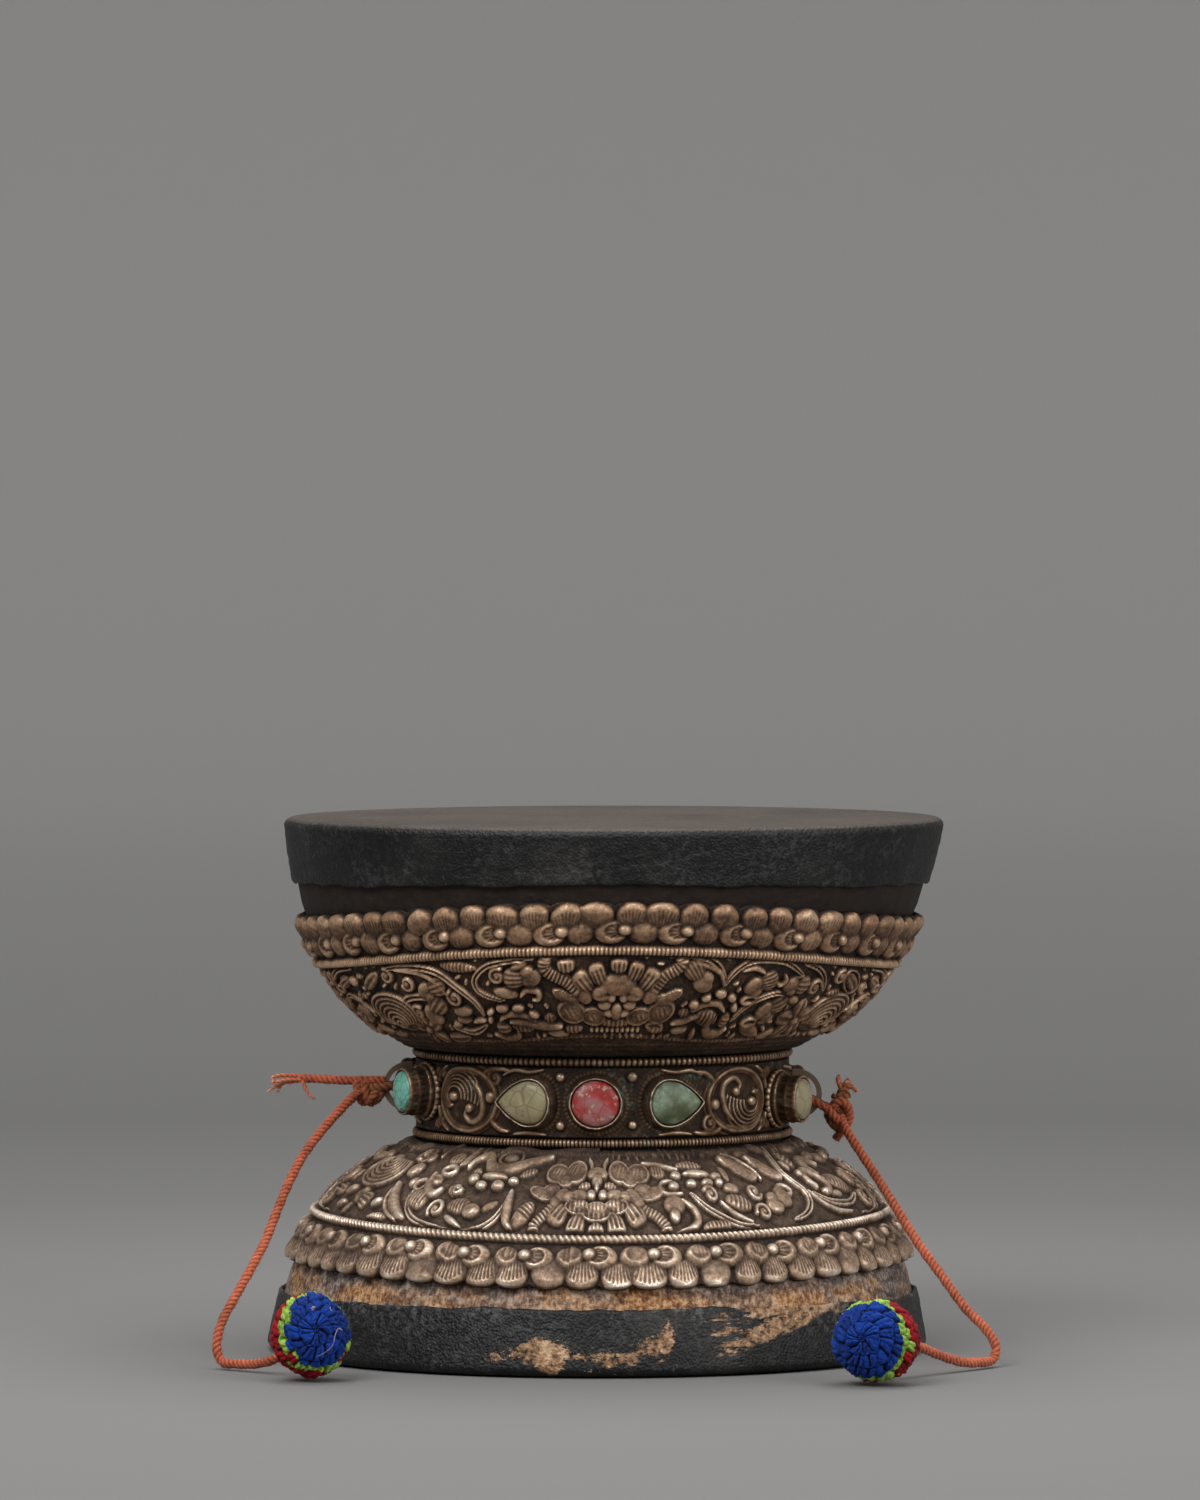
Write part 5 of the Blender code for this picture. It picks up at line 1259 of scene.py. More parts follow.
def make_belt():
    s = belt_sheet()
    turn = np.linspace(-math.pi, math.pi, BELT_COLUMNS, endpoint=False)[None, :]
    level = np.linspace(-BELT_WIDTH / 2, BELT_WIDTH / 2, BELT_ROWS)[:, None]
    turn, level = np.broadcast_arrays(turn, level)
    along = (np.mod(turn + math.pi / 2, math.pi) - math.pi / 2) * BELT_FACE
    height = s.sample(along, level)
    granules = 0.11 + 0.09 * ripple(along * 3.3, level * 3.1) + 0.05 * ripple(along * 8.1, level * 7.7)
    height = np.maximum(height, granules)
    look = wear_and_shading_look(height, 1.1)
    for (azimuth, length, width), outline, way in SETTINGS:
        away = along - math.radians(azimuth) * BELT_FACE
        under = np.hypot(away / (length / 2 + 0.2), level / (width / 2 + 0.2)) < 1
        height = np.where(under, np.minimum(height, 0.5), height)
    radius = np.vstack([BELT_FACE - BELT_SINK + height * 0.85, np.full((4, BELT_COLUMNS), NECK_RADIUS + GAP)])
    level = np.vstack([level, np.broadcast_to(np.linspace(6, -6, 4)[:, None], (4, BELT_COLUMNS))])
    look = np.vstack([look, np.full((4, BELT_COLUMNS), 0.1)])
    turn = np.broadcast_to(turn[:1], level.shape)
    points = np.stack([radius * np.sin(turn), -radius * np.cos(turn), BELT_HEIGHT + level], axis=-1) * MM
    solid = Solid()
    solid.grid(points, look, close_rows=True, close_columns=True)
    solid.piece("belt_face", "belt", slot="belt_bronze", replaces=("belt",))


def make_belt_wire(name, side, beads, columns, sides, material):
    """A wire round one edge of the belt, cut into beads."""
    turn = np.linspace(-math.pi, math.pi, beads * columns, endpoint=False)[None, :]
    angle = np.linspace(0, 2 * math.pi, sides, endpoint=False)[:, None]
    notch = np.abs(np.sin(turn * beads / 2)) ** 0.55
    size = BELT_WIRE_RADIUS * (0.70 + 0.30 * notch) + 0 * angle
    radius = NECK_RADIUS + GAP + BELT_WIRE_RADIUS + size * np.cos(angle)
    height = BELT_HEIGHT + side * (BELT_WIDTH / 2 + GAP + BELT_WIRE_RADIUS) + size * np.sin(angle)
    points = np.stack([radius * np.sin(turn), -radius * np.cos(turn), height], axis=-1) * MM
    solid = Solid()
    # Painted shade in the notches between the beads and a painted highlight on the wire's outward face.
    solid.grid(points, 0.05 + 0.75 * notch * np.clip(0.3 + np.cos(angle), 0.1, 1), close_rows=True,
               close_columns=True)
    solid.piece(f"{name}_milled", material, slot="belt_bronze", replaces=(name,))


make_belt()
make_belt_wire("belt_upper_wire", 1, 208, 7, 12, "belt")
make_belt_wire("belt_lower_wire", -1, 300, 4, 12, "belt")

# Stones in their settings


def on_belt(azimuth, x, y, proud, level=BELT_HEIGHT):
    """Points in metres at a place on the belt: x round it, y up it and proud of its face."""
    turn = math.radians(azimuth)
    reach = BELT_FACE + proud
    east = reach * math.sin(turn) + x * math.cos(turn)
    south = -reach * math.cos(turn) + x * math.sin(turn)
    return np.stack([east, south, level + y], axis=-1) * MM


def make_setting(name, azimuth, length, width, outline, way):
    """A thin hammered rim from the belt's face to a rolled lip."""
    rows, looks = [], []
    # The looks go from painted shade at the foot and inside the lip to a painted highlight on the lip's crest.
    for grow, proud, look in ((0.30, -0.45, 0.1), (0.38, 0.1, 0.25), (0.26, 0.45, 0.3), (0.12, 0.8, 0.3),
                              (0.02, 1.2, 0.45), (-0.08, 1.5, 0.35), (-0.14, 1.75, 0.55), (-0.24, 1.96, 1.0),
                              (-0.38, 1.94, 1.0), (-0.48, 1.75, 0.5), (-0.52, 1.4, 0.1), (-0.52, 0.2, 0.1)):
        line = outline(length, width, grow, 120) * (way, 1)
        beat = 0.11 * ripple(line[:, 0] * 1.7 + 2 * grow, line[:, 1] * 1.9)
        drop_away = line[:, 0] ** 2 / (2 * BELT_FACE) if proud < 0.2 else 0 * beat
        rows.append(on_belt(azimuth, line[:, 0] * (1 + beat / 8), line[:, 1] * (1 + beat / 8),
                            proud - drop_away + beat * (proud > 1)))
        looks.append(np.clip(look + 2.5 * beat, 0, 1))
    solid = Solid()
    solid.grid(np.array(rows), np.array(looks), close_rows=True, close_columns=True)
    solid.piece(f"{name}_rim", "silver", slot="bright_silver", replaces=(f"{name}_setting",))


def make_stone(name, azimuth, length, width, outline, way, material):
    """A hand-cut dome of stone, a little uneven."""
    rows = [on_belt(azimuth, *(outline(length, width, -0.62, 96) * (way, 1)).T, 0.35 + 0 * np.arange(96))]
    for share in np.linspace(0, 0.99, 22):
        angle = math.pi / 2 * share
        line = outline(length, width, -0.60, 96) * (way, 1) * math.cos(angle) ** 0.9
        uneven = 0.13 * ripple(line[:, 0] * 0.9 + azimuth, line[:, 1] * 0.9) * math.sin(angle)
        rows.append(on_belt(azimuth, line[:, 0], line[:, 1], 1.05 + 1.6 * math.sin(angle) ** 0.7 + uneven))
    solid = Solid()
    solid.grid(np.array(rows), 0.5, close_columns=True)
    slot = {"coral": "coral", "olive": "olive_stone", "green": "green_stone"}[material]
    solid.piece(f"{name}_cut", material, slot=slot, replaces=(f"{name}_stone",))


for end, middle in (("front", 0.0), ("back", 180.0)):
    for key, (size, outline, way) in zip(("coral", "olive", "green"), SETTINGS):
        azimuth, length, width = size
        make_setting(f"{end}_{key}", middle + azimuth, length, width, outline, way)
        make_stone(f"{end}_{key}", middle + azimuth, length, width, outline, way, key)

# Bosses beside the lugs

BOSS_AZIMUTH = 67.0
FITTING_HEIGHT = {"left": 45.9, "right": 44.6}
# Each ring's radius, height proud of the belt, kind of surface and look. The looks are painted shade at the foot and
# down inside the cup, and painted highlight on the beads, rope and lip.
BOSS_OUTLINE = (
    (5.05, -0.5, "foot", 0.15), (5.20, 0.1, "beads", 0.3), (5.18, 0.45, "beads", 0.7),
    (4.95, 0.75, "beads", 0.9), (4.72, 0.70, "foot", 0.2), (4.62, 0.85, "foot", 0.2),
    (4.72, 1.1, "rope", 0.5), (4.66, 1.4, "rope", 0.7), (4.40, 1.55, "rope", 0.4),
    (4.08, 1.6, "foot", 0.1), (4.02, 1.9, "flutes", 0.3), (4.04, 2.6, "flutes", 0.38),
    (4.20, 2.9, "rope", 0.5), (4.20, 3.2, "rope", 0.5), (4.02, 3.4, "flutes", 0.35),
    (4.06, 4.1, "flutes", 0.45), (4.14, 4.5, "foot", 0.6),
    (4.12, 4.85, "foot", 0.75), (3.96, 5.0, "foot", 0.75), (3.80, 4.95, "foot", 0.6),
    (3.66, 4.7, "foot", 0.3), (3.62, 4.0, "foot", 0.1), (3.62, 1.6, "foot", 0.1),
)


def make_boss(end, side, azimuth):
    """A tall cup with a beaded foot, a rope collar and flutes, and the stone it holds."""
    name = f"{end}_{side}_boss"
    side_way = "left" if math.sin(math.radians(azimuth)) < 0 else "right"
    level = FITTING_HEIGHT[side_way]
    turn = np.linspace(0, 2 * math.pi, 168, endpoint=False)
    rows, looks = [], []
    for radius, proud, kind, look in BOSS_OUTLINE:
        change = {"foot": 0 * turn, "beads": 0.22 * np.abs(np.sin(turn * 14)) ** 0.6 - 0.18,
                  "rope": 0.14 * np.abs(np.sin(turn * 21 + 3.0 * proud)) ** 0.7 - 0.1,
                  "flutes": 0.05 * np.cos(turn * 24)}[kind]
        size = radius + change
        x, y = size * np.cos(turn), size * np.sin(turn)
        sunk = x ** 2 / (2 * BELT_FACE) * max(0.0, min(1.0, (1.2 - proud) / 0.8))
        rows.append(on_belt(azimuth, x, y, proud - sunk, level))
        # Raised beads and rope are lighter and their grooves darker: painted highlight and painted shade.
        looks.append(np.clip(look + 1.6 * change + 0.2 * ripple(x * 3, y * 3 + proud), 0, 1))
    solid = Solid()
    solid.grid(np.array(rows), np.array(looks), close_rows=True, close_columns=True)
    solid.piece(f"{name}_chased", "belt", slot="belt_bronze", replaces=(f"{name}_cup",))
    rows = []
    for share in np.concatenate([[-0.6, -0.3], np.linspace(0, 0.99, 14)]):
        angle = math.pi / 2 * max(share, 0)
        size = 3.56 * math.cos(angle)
        x, y = size * np.cos(turn), size * np.sin(turn)
        proud = 4.75 + 1.2 * math.sin(angle) + min(share, 0) * 5
        uneven = 0.06 * ripple(x * 1.3 + azimuth, y * 1.3) * (share > 0)
        rows.append(on_belt(azimuth, x, y, proud + uneven, level))
    solid = Solid()
    solid.grid(np.array(rows), 0.5, close_columns=True)
    material = "turquoise" if (end, side) in (("front", "left"), ("back", "right")) else "olive"
    slot = "turquoise" if material == "turquoise" else "olive_stone"
    solid.piece(f"{name}_cut", material, slot=slot, replaces=(f"{name}_stone",))


make_boss("front", "left", -BOSS_AZIMUTH)
make_boss("front", "right", BOSS_AZIMUTH)
make_boss("back", "left", BOSS_AZIMUTH - 180)
make_boss("back", "right", 180 - BOSS_AZIMUTH)


def dress(node, key):
    """Gives a solid of the frame its material."""
    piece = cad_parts[node]
    piece.data.materials.clear()
    piece.data.materials.append(MATERIALS[key])
    piece.data.shade_smooth()
    piece.data.set_sharp_from_angle(angle=math.radians(35))


dress("upper_shell", "wood")
dress("lower_shell", "wood")
dress("left_lug", "lug")
dress("right_lug", "lug")

# Cotton cords

CORD_SIDES = 24
# Routes of the cords in millimetres, as the frame's solids have them
LEFT_HANGING = [
    (-44.6, -4.5, 43.6), (-48.8, -8.8, 39.2), (-52.4, -13, 34.6), (-55.0, -18, 29.6),
    (-56.8, -22, 25.2), (-58.6, -26, 20.6), (-60.7, -30, 16.6), (-63.0, -33.4, 12.5),
    (-65.2, -36.6, 8.6), (-66.2, -38.9, 5.8),
]
LEFT_FOLD = (-66.4, -40.2, 3.2)
LEFT_LYING = [
    (-65.4, -41.2, 1.1), (-62.8, -43.4, 0.95), (-59.6, -46.0, 1.2), (-56.0, -49.4, 2.4),
]
RIGHT_HANGING = [
    (43.2, -4.6, 38.0), (47.5, -9, 31.5), (51.3, -14, 25.6), (55.2, -19, 19.5),
    (59.2, -24, 14.2), (62.8, -28.8, 9.4), (66.4, -33.6, 5.9),
]
RIGHT_FOLD = (67.9, -36.2, 3.2)
RIGHT_LYING = [
    (67.2, -37.6, 1.1), (65.0, -40.8, 0.95), (61.6, -44.8, 1.4), (57.4, -49.4, 3.1),
    (53.8, -53.4, 4.9),
]
KNOTS = {"left": np.array((-41.608, 0, 45.712)), "right": np.array((41.660, 0, 41.219))}
KNOT_RADIUS = 2.3
# Each ball's centre, width and height in millimetres, then the turn and lift in degrees of the
# middle of its stitches and of the middle of its blue
BALLS = {
    "left": (np.array((-49.6, -61.0, 7.6)), 14.3, 15.2, 10.0, 13.0, 25.0, 21.0),
    "right": (np.array((46.3, -68.0, 7.3)), 15.9, 14.6, -22.0, 8.0, -37.0, 4.0),
}
BALL_WALL = 1.3


def smooth_route(points, step):
    """Evenly spaced points on a smooth curve through a route's own points."""
    points = np.array(points, float)
    ends = np.vstack([2 * points[0] - points[1], points, 2 * points[-1] - points[-2]])
    share = (np.arange(12) / 12)[:, None]
    parts = []
    for a, b, c, d in zip(ends, ends[1:], ends[2:], ends[3:]):
        parts.append((2 * b + (c - a) * share + (2 * a - 5 * b + 4 * c - d) * share ** 2
                      + (3 * b - a - 3 * c + d) * share ** 3) / 2)
    fine = np.vstack([*parts, points[-1:]])
    steps = np.linalg.norm(np.diff(fine, axis=0), axis=1)
    travelled = np.concatenate([[0], np.cumsum(steps)])
    places = np.linspace(0, travelled[-1], max(2, round(travelled[-1] / step)) + 1)
    return np.stack([np.interp(places, travelled, fine[:, axis]) for axis in range(3)], axis=-1)


def unit(vector):
    return vector / np.linalg.norm(vector)


def carried(route):
    """At each point of a route, two directions across it that don't spin, and the one along it."""
    along = np.gradient(route, axis=0)
    along /= np.linalg.norm(along, axis=1, keepdims=True)
    across = np.cross(along[0], (0.3, 0.5, 0.8))
    first = []
    for direction in along:
        across = unit(across - direction * across.dot(direction))
        first.append(across)
    first = np.array(first)
    return first, np.cross(along, first), along


def add_cord(solid, points, radius, spacing=0.95, strands=3, soil=0.0, pale=0.0, thin=1.0):
    """Adds a cord of twisted strands, which may thin towards its end."""
    route = smooth_route(points, 0.18)
    first, second, _ = carried(route)
    place = np.linspace(0, 1, len(route))[:, None]
    steps = np.linalg.norm(np.diff(route, axis=0), axis=1)
    travelled = np.concatenate([[0], np.cumsum(steps)])[:, None]
    angle = np.linspace(0, 2 * math.pi, CORD_SIDES, endpoint=False)[None, :]
    bulge = np.abs(np.cos((strands * angle - 2 * math.pi * travelled / spacing) / 2)) ** 0.7
    fine = 0.5 + 0.5 * np.cos(9 * angle + 2 * math.pi * travelled / 0.6)
    size = radius * (0.76 + 0.22 * bulge + 0.02 * fine) * (1 + (thin - 1) * place)
    size = size * (1 + 0.05 * np.sin(travelled * 1.9))
    out = first[:, None] * np.cos(angle)[..., None] + second[:, None] * np.sin(angle)[..., None]
    rings = route[:, None] + out * size[..., None]
    # Painted shade between the strands and a painted highlight on their crowns; the pale share is the frayed yarn's
    # own colour.
    look = 0.10 + 0.56 * bulge * (0.7 + 0.3 * fine) + pale * (0.35 + 0.65 * place)
    solid.grid(rings * MM, np.clip(look, 0, 1), soil, close_columns=True)
    return route


def add_fibre(solid, points, radius, look, soil=0.0):
    """Adds one thin fibre with a three-sided section."""
    points = np.array(points, float)
    first, second, _ = carried(points)
    angle = np.linspace(0, 2 * math.pi, 3, endpoint=False)[None, :]
    size = np.linspace(1, 0.4, len(points))[:, None] * radius
    out = first[:, None] * np.cos(angle)[..., None] + second[:, None] * np.sin(angle)[..., None]
    rings = points[:, None] + out * size[..., None]
    rings[..., 2] = np.maximum(rings[..., 2], 0.02)
    solid.grid(rings * MM, look, soil, close_columns=True)


def add_fuzz(solid, route, radius, count, length, soil=0.0):
    """Adds loose fibres that stand off a cord all along it."""
    first, second, along = carried(route)
    for _ in range(count):
        index = chance.randrange(1, len(route) - 1)
        angle = chance.uniform(0, 2 * math.pi)
        out = first[index] * math.cos(angle) + second[index] * math.sin(angle)
        lay = along[index] * chance.uniform(-1, 1)
        stray = np.array([chance.uniform(-0.5, 0.5) for _ in range(3)])
        reach = length * chance.uniform(0.35, 1.0)
        start = route[index] + out * radius * 0.8
        middle = start + unit(0.8 * out + lay) * reach * 0.5
        tip = middle + unit(0.5 * out + lay + stray) * reach * 0.5
        add_fibre(solid, [start, middle, tip], 0.03, chance.uniform(0.4, 0.75), soil)


def add_lump(solid, centre, sizes, soil):
    """Adds the hidden heart of a knot, so that nothing shows through between its turns."""
    turn = np.linspace(0, 2 * math.pi, 24, endpoint=False)[None, :]
    fall = np.linspace(0.05, math.pi - 0.05, 14)[:, None]
    ball = np.stack([np.sin(fall) * np.cos(turn), np.sin(fall) * np.sin(turn),
                     np.cos(fall) + 0 * turn], axis=-1)
    solid.grid((np.array(centre) + ball * sizes) * MM, 0.15, soil, close_columns=True)


def cotton_piece(solid, name, replaces):
    """A knot or a loose tail. Both stay with the drum."""
    return solid.piece(name, "orange", slot="orange_cotton", replaces=(replaces,))


def ball_pole(side, first=3):
    """The direction that a ball's numbers from a first one on give as a turn and a lift."""
    turn, lift = (math.radians(angle) for angle in BALLS[side][first:first + 2])
    return np.array((math.sin(turn) * math.cos(lift), -math.cos(turn) * math.cos(lift), math.sin(lift)))


def make_cord(side, hanging, fold, lying):
    """One striker's cord from its knot to its ball."""
    centre, width, height = BALLS[side][:3]
    entry = ball_pole(side) * (1, 1, height / width)
    inside = width / 2 - BALL_WALL
    ends = [centre - entry * (width / 2 + CORD_DIAMETER * 1.5), centre - entry * (inside + 0.3)]
    start = KNOTS[side]
    first = start + unit(np.array(hanging[0]) - start) * (KNOT_RADIUS - 1.0)
    points = np.vstack([first, hanging, [fold], lying, ends])
    solid = Solid()
    route = add_cord(solid, points, CORD_DIAMETER / 2)
    add_fuzz(solid, route, CORD_DIAMETER / 2, 420, 0.9)
    cord = solid.piece(f"{side}_cord", "orange", body=None, slot="orange_cotton",
                       replaces=(f"{side}_cord_hanging", f"{side}_cord_lying"))
    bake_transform(cord)


def make_left_knot():
    """A knot under the horizontal tail: an eye round the lug, upright turns and a soiled lump."""
    solid = Solid()
    eye = [(-41.2, -0.8, 45.6), (-39.7, -1.9, 45.8), (-38.2, -2.05, 45.9), (-37.0, -1.2, 46.0),
           (-36.8, 0, 46.0), (-37.0, 1.2, 46.0), (-38.2, 2.05, 45.9), (-39.7, 1.9, 45.8), (-41.2, 0.8, 45.6)]
    turns = [
        [(-43.1, 0.2, 46.7), (-43.3, -1.2, 46.2), (-43.1, -1.8, 44.9), (-42.6, -1.3, 43.6),
         (-42.1, 0.1, 43.1), (-41.9, 1.4, 43.8), (-42.2, 1.8, 45.1), (-42.6, 1.0, 46.3)],
        [(-41.8, 0.1, 46.8), (-41.9, -1.3, 46.2), (-41.7, -1.9, 44.8), (-41.2, -1.3, 43.4),
         (-40.8, 0.1, 43.0), (-40.7, 1.4, 43.7), (-40.9, 1.8, 45.1), (-41.2, 1.0, 46.3)],
        [(-41.4, -1.2, 43.5), (-40.5, -1.9, 44.1), (-39.7, -1.7, 45.2), (-38.9, -1.2, 46.1)],
        [(-40.9, 0.6, 43.4), (-40.0, -0.7, 43.5), (-39.3, -1.4, 44.3), (-38.8, -1.3, 45.2)],
    ]
    fuzzed = [add_cord(solid, eye, 0.8, soil=0.8)]
    for points, soil in zip(turns, (0.15, 0.35, 0.8, 0.9)):
        fuzzed.append(add_cord(solid, points, 0.82, soil=soil))
    add_lump(solid, (-40.9, 0, 45.0), (2.1, 1.6, 1.7), 0.7)
    for route in fuzzed[1:]:
        add_fuzz(solid, route, 0.82, 70, 0.9, 0.5)
    cotton_piece(solid, "left_knot_tied", "left_knot")


def make_left_tail():
    """The loose end that stands out level and frays into four pale strands."""
    solid = Solid()
    main = [(-38.4, -0.9, 46.9), (-41.0, -1.0, 47.0), (-44.6, -0.2, 46.95), (-48.5, 1.0, 47.05),
            (-51.5, 1.7, 47.15), (-53.8, 2.0, 47.15)]
    route = add_cord(solid, main, 0.86, soil=0.0, thin=0.92)
    add_fuzz(solid, route, 0.86, 130, 0.9)
    frays = [
        ([(-52.8, 1.8, 47.4), (-55.0, 1.5, 47.75), (-57.4, 1.2, 47.65), (-58.3, 1.1, 47.3), (-58.1, 0.8, 46.5)], 0.42),
        ([(-52.8, 1.6, 46.9), (-55.2, 1.4, 47.0), (-57.2, 1.4, 46.7), (-58.0, 1.5, 45.9)], 0.40),
        ([(-52.8, 2.2, 46.9), (-55.0, 2.4, 46.5), (-56.6, 2.4, 46.2), (-57.3, 2.4, 45.0)], 0.38),
        ([(-53.0, 1.4, 46.7), (-52.6, 1.2, 45.9), (-52.0, 1.2, 44.6), (-51.2, 1.3, 43.8)], 0.36),
        ([(-56.4, 2.2, 46.2), (-57.8, 2.2, 45.6), (-58.8, 2.2, 45.1)], 0.26),
    ]
    for points, radius in frays:
        strand = add_cord(solid, points, radius, 0.9, 2, pale=0.45, thin=0.75)
        add_fuzz(solid, strand, radius, 26, 0.7)
        for _ in range(12):
            spread = np.array([chance.uniform(-0.5, 0.5) for _ in range(3)])
            end = strand[-1] + unit(strand[-1] - strand[-3]) * 0.5 + spread * 0.8
            add_fibre(solid, [strand[-2] + spread * 0.3, (strand[-1] + end) / 2, end], 0.05, 0.95)
    cotton_piece(solid, "left_tail_frayed", "left_knot_tail")


def make_right_knot():
    """A lopsided knot on the slanting cord, with a stub of cord below it."""
    solid = Solid()
    eye = [(40.6, -0.8, 41.7), (39.2, -1.9, 42.3), (37.9, -2.05, 43.0), (36.9, -1.2, 43.5),
           (36.7, 0, 43.6), (36.9, 1.2, 43.5), (37.9, 2.05, 43.0), (39.2, 1.9, 42.3), (40.6, 0.8, 41.7)]
    turns = [
        [(39.4, -1.9, 42.2), (40.6, -2.2, 41.0), (42.0, -2.2, 39.4), (43.2, -2.4, 38.2)],
        [(40.3, -0.6, 41.8), (41.0, -1.6, 43.0), (42.3, -1.7, 43.3), (43.3, -1.2, 42.2), (43.6, -0.7, 40.6),
         (43.0, -0.3, 39.1), (42.0, 0.2, 38.4)],
        [(43.0, 0.7, 39.6), (43.2, 1.3, 41.4), (42.0, 1.7, 42.6), (40.6, 1.0, 42.3), (39.9, -0.4, 41.0),
         (40.5, -1.5, 39.5), (41.6, -1.5, 38.6)],
        [(42.6, -0.9, 39.2), (42.1, -1.5, 38.1), (41.5, -1.6, 37.2), (41.1, -1.5, 36.6)],
    ]
    fuzzed = [add_cord(solid, eye, 0.8, soil=0.0)]
    for points, soil in zip(turns, (0.0, 0.35, 0.8, 0.6)):
        fuzzed.append(add_cord(solid, points, 0.82, soil=soil))
    add_lump(solid, (41.6, 0, 40.9), (1.7, 1.6, 1.9), 0.8)
    for route in fuzzed[1:]:
        add_fuzz(solid, route, 0.82, 80, 0.9, 0.6)
    cotton_piece(solid, "right_knot_tied", "right_knot")


def make_right_tail():
    """A short soiled end that stands up from the knot and splits at its top."""
    solid = Solid()
    main = [(41.3, -0.6, 41.9), (41.4, -0.8, 43.2), (41.9, -0.7, 44.4), (42.5, -0.4, 45.6), (42.8, -0.2, 46.2)]
    route = add_cord(solid, main, 0.84, soil=0.85, thin=0.9)
    add_fuzz(solid, route, 0.84, 70, 1.0, 0.9)
    frays = [
        ([(43.6, -1.2, 44.5), (42.4, -1.5, 44.2), (41.2, -1.2, 44.1), (40.6, -0.8, 44.3)], 0.62, 0.9, 0.0),
        ([(42.2, -0.6, 45.3), (41.7, -0.8, 46.4), (41.5, -0.9, 47.4), (41.9, -0.9, 47.8)], 0.42, 0.2, 0.3),
        ([(42.6, -0.4, 45.4), (43.0, -0.3, 46.6), (43.6, -0.2, 47.1)], 0.5, 0.3, 0.3),
        ([(42.8, -0.6, 45.2), (43.6, -0.8, 45.9), (44.3, -0.9, 45.6), (44.9, -1.0, 45.0)], 0.44, 0.2, 0.25),
    ]
    for points, radius, soil, pale in frays:
        strand = add_cord(solid, points, radius, 0.9, 2, soil=soil, pale=pale, thin=0.85)
        add_fuzz(solid, strand, radius, 34, 0.8, soil)
    cotton_piece(solid, "right_tail_frayed", "right_knot_tail")


make_cord("left", LEFT_HANGING, LEFT_FOLD, LEFT_LYING)
make_cord("right", RIGHT_HANGING, RIGHT_FOLD, RIGHT_LYING)
make_left_knot()
make_left_tail()
make_right_knot()
make_right_tail()

# Crocheted balls

BALL_COLUMNS = 260
BALL_ROWS = 150
# The rounds of stitches from the middle of the cap: where each ends in degrees, and its stitches
ROUNDS = ((5, 1), (26, 7), (47, 11), (67, 15), (87, 17), (107, 17), (126, 15), (144, 12), (161, 8),
          (190, 4))
STITCH_DEPTH = 1.0


LEFT_STRAYS = (
    ((-0.85, 0.02), (-0.62, -0.02), (-0.50, 0.18), (-0.46, 0.42), (-0.28, 0.62), (-0.02, 0.80)),
    ((-0.02, -0.62), (0.08, -0.66), (0.02, -0.58), (0.12, -0.60), (0.04, -0.52), (0.10, -0.50)),
    ((-0.50, -0.72), (-0.46, -0.62), (-0.52, -0.56)),
)


def stitches(fall, turn, skew):
    """Height, brightness and stitch number of crocheted rounds for arrays of angles."""
    height = np.zeros_like(fall)
    look = np.zeros_like(fall)
    number = np.zeros_like(fall)
    start = -9.0
    wander = np.sin(4 * turn + 5 * skew) + 0.7 * np.sin(9 * turn + 2) + 0.6 * np.sin(7 * fall + 3 * turn)
    degrees = np.degrees(fall) + 3.2 * wander * np.sin(fall)
    for index, (stop, count) in enumerate(ROUNDS):
        here = (degrees >= start) & (degrees < stop)
        along = (degrees - start) / (stop - start)
        place = turn / (2 * math.pi) * count + 0.37 * index + skew + 0.22 * np.sin(3 * turn + index)
        nearest = np.round(place)
        across = 2 * (place - nearest) + 0.7 * (along - 0.5)
        key = np.mod(nearest, count) + 40 * index
        leg = np.abs(across) - 0.42 - 0.16 * (along - 0.5)
        legs = np.clip(1 - (leg / 0.52) ** 2, 0, 1) ** 0.45
        ends = np.clip(1 - np.abs(2 * along - 1) ** 5, 0, 1) ** 0.5
        ends = ends * (0.78 + 0.6 * (steady(key, 1) - 0.5))
        yarn = 0.5 + 0.5 * np.cos(across * 13 + along * 9)
        loop = np.clip(1 - ((along - 0.93) / 0.12) ** 2, 0, 1) ** 0.5 * 0.72
        stitch = np.maximum(legs * ends * (0.93 + 0.07 * yarn), loop * (0.8 + 0.2 * np.cos(across * 5)))
        height = np.where(here, stitch, height)
        # Painted shade: the look is darker in the grooves between stitches and brighter on their tops.
        look = np.where(here, 0.12 + 0.75 * stitch * (0.75 + 0.25 * yarn) + 0.16 * (steady(key, 2) - 0.5), look)
        number = np.where(here, key, number)
        start = stop
    return height, np.clip(look, 0, 1), number


def colour_bands(away, number, edges):
    """Which colour each place has. The change of yarn steps up and down from stitch to stitch."""
    blue, lime = edges
    step = 19.0 * (steady(number, 3) - 0.5)
    degrees = np.degrees(away)
    return np.where(degrees < blue + step, 0.1, np.where(degrees < lime + 1.4 * step, 0.5, 0.9))


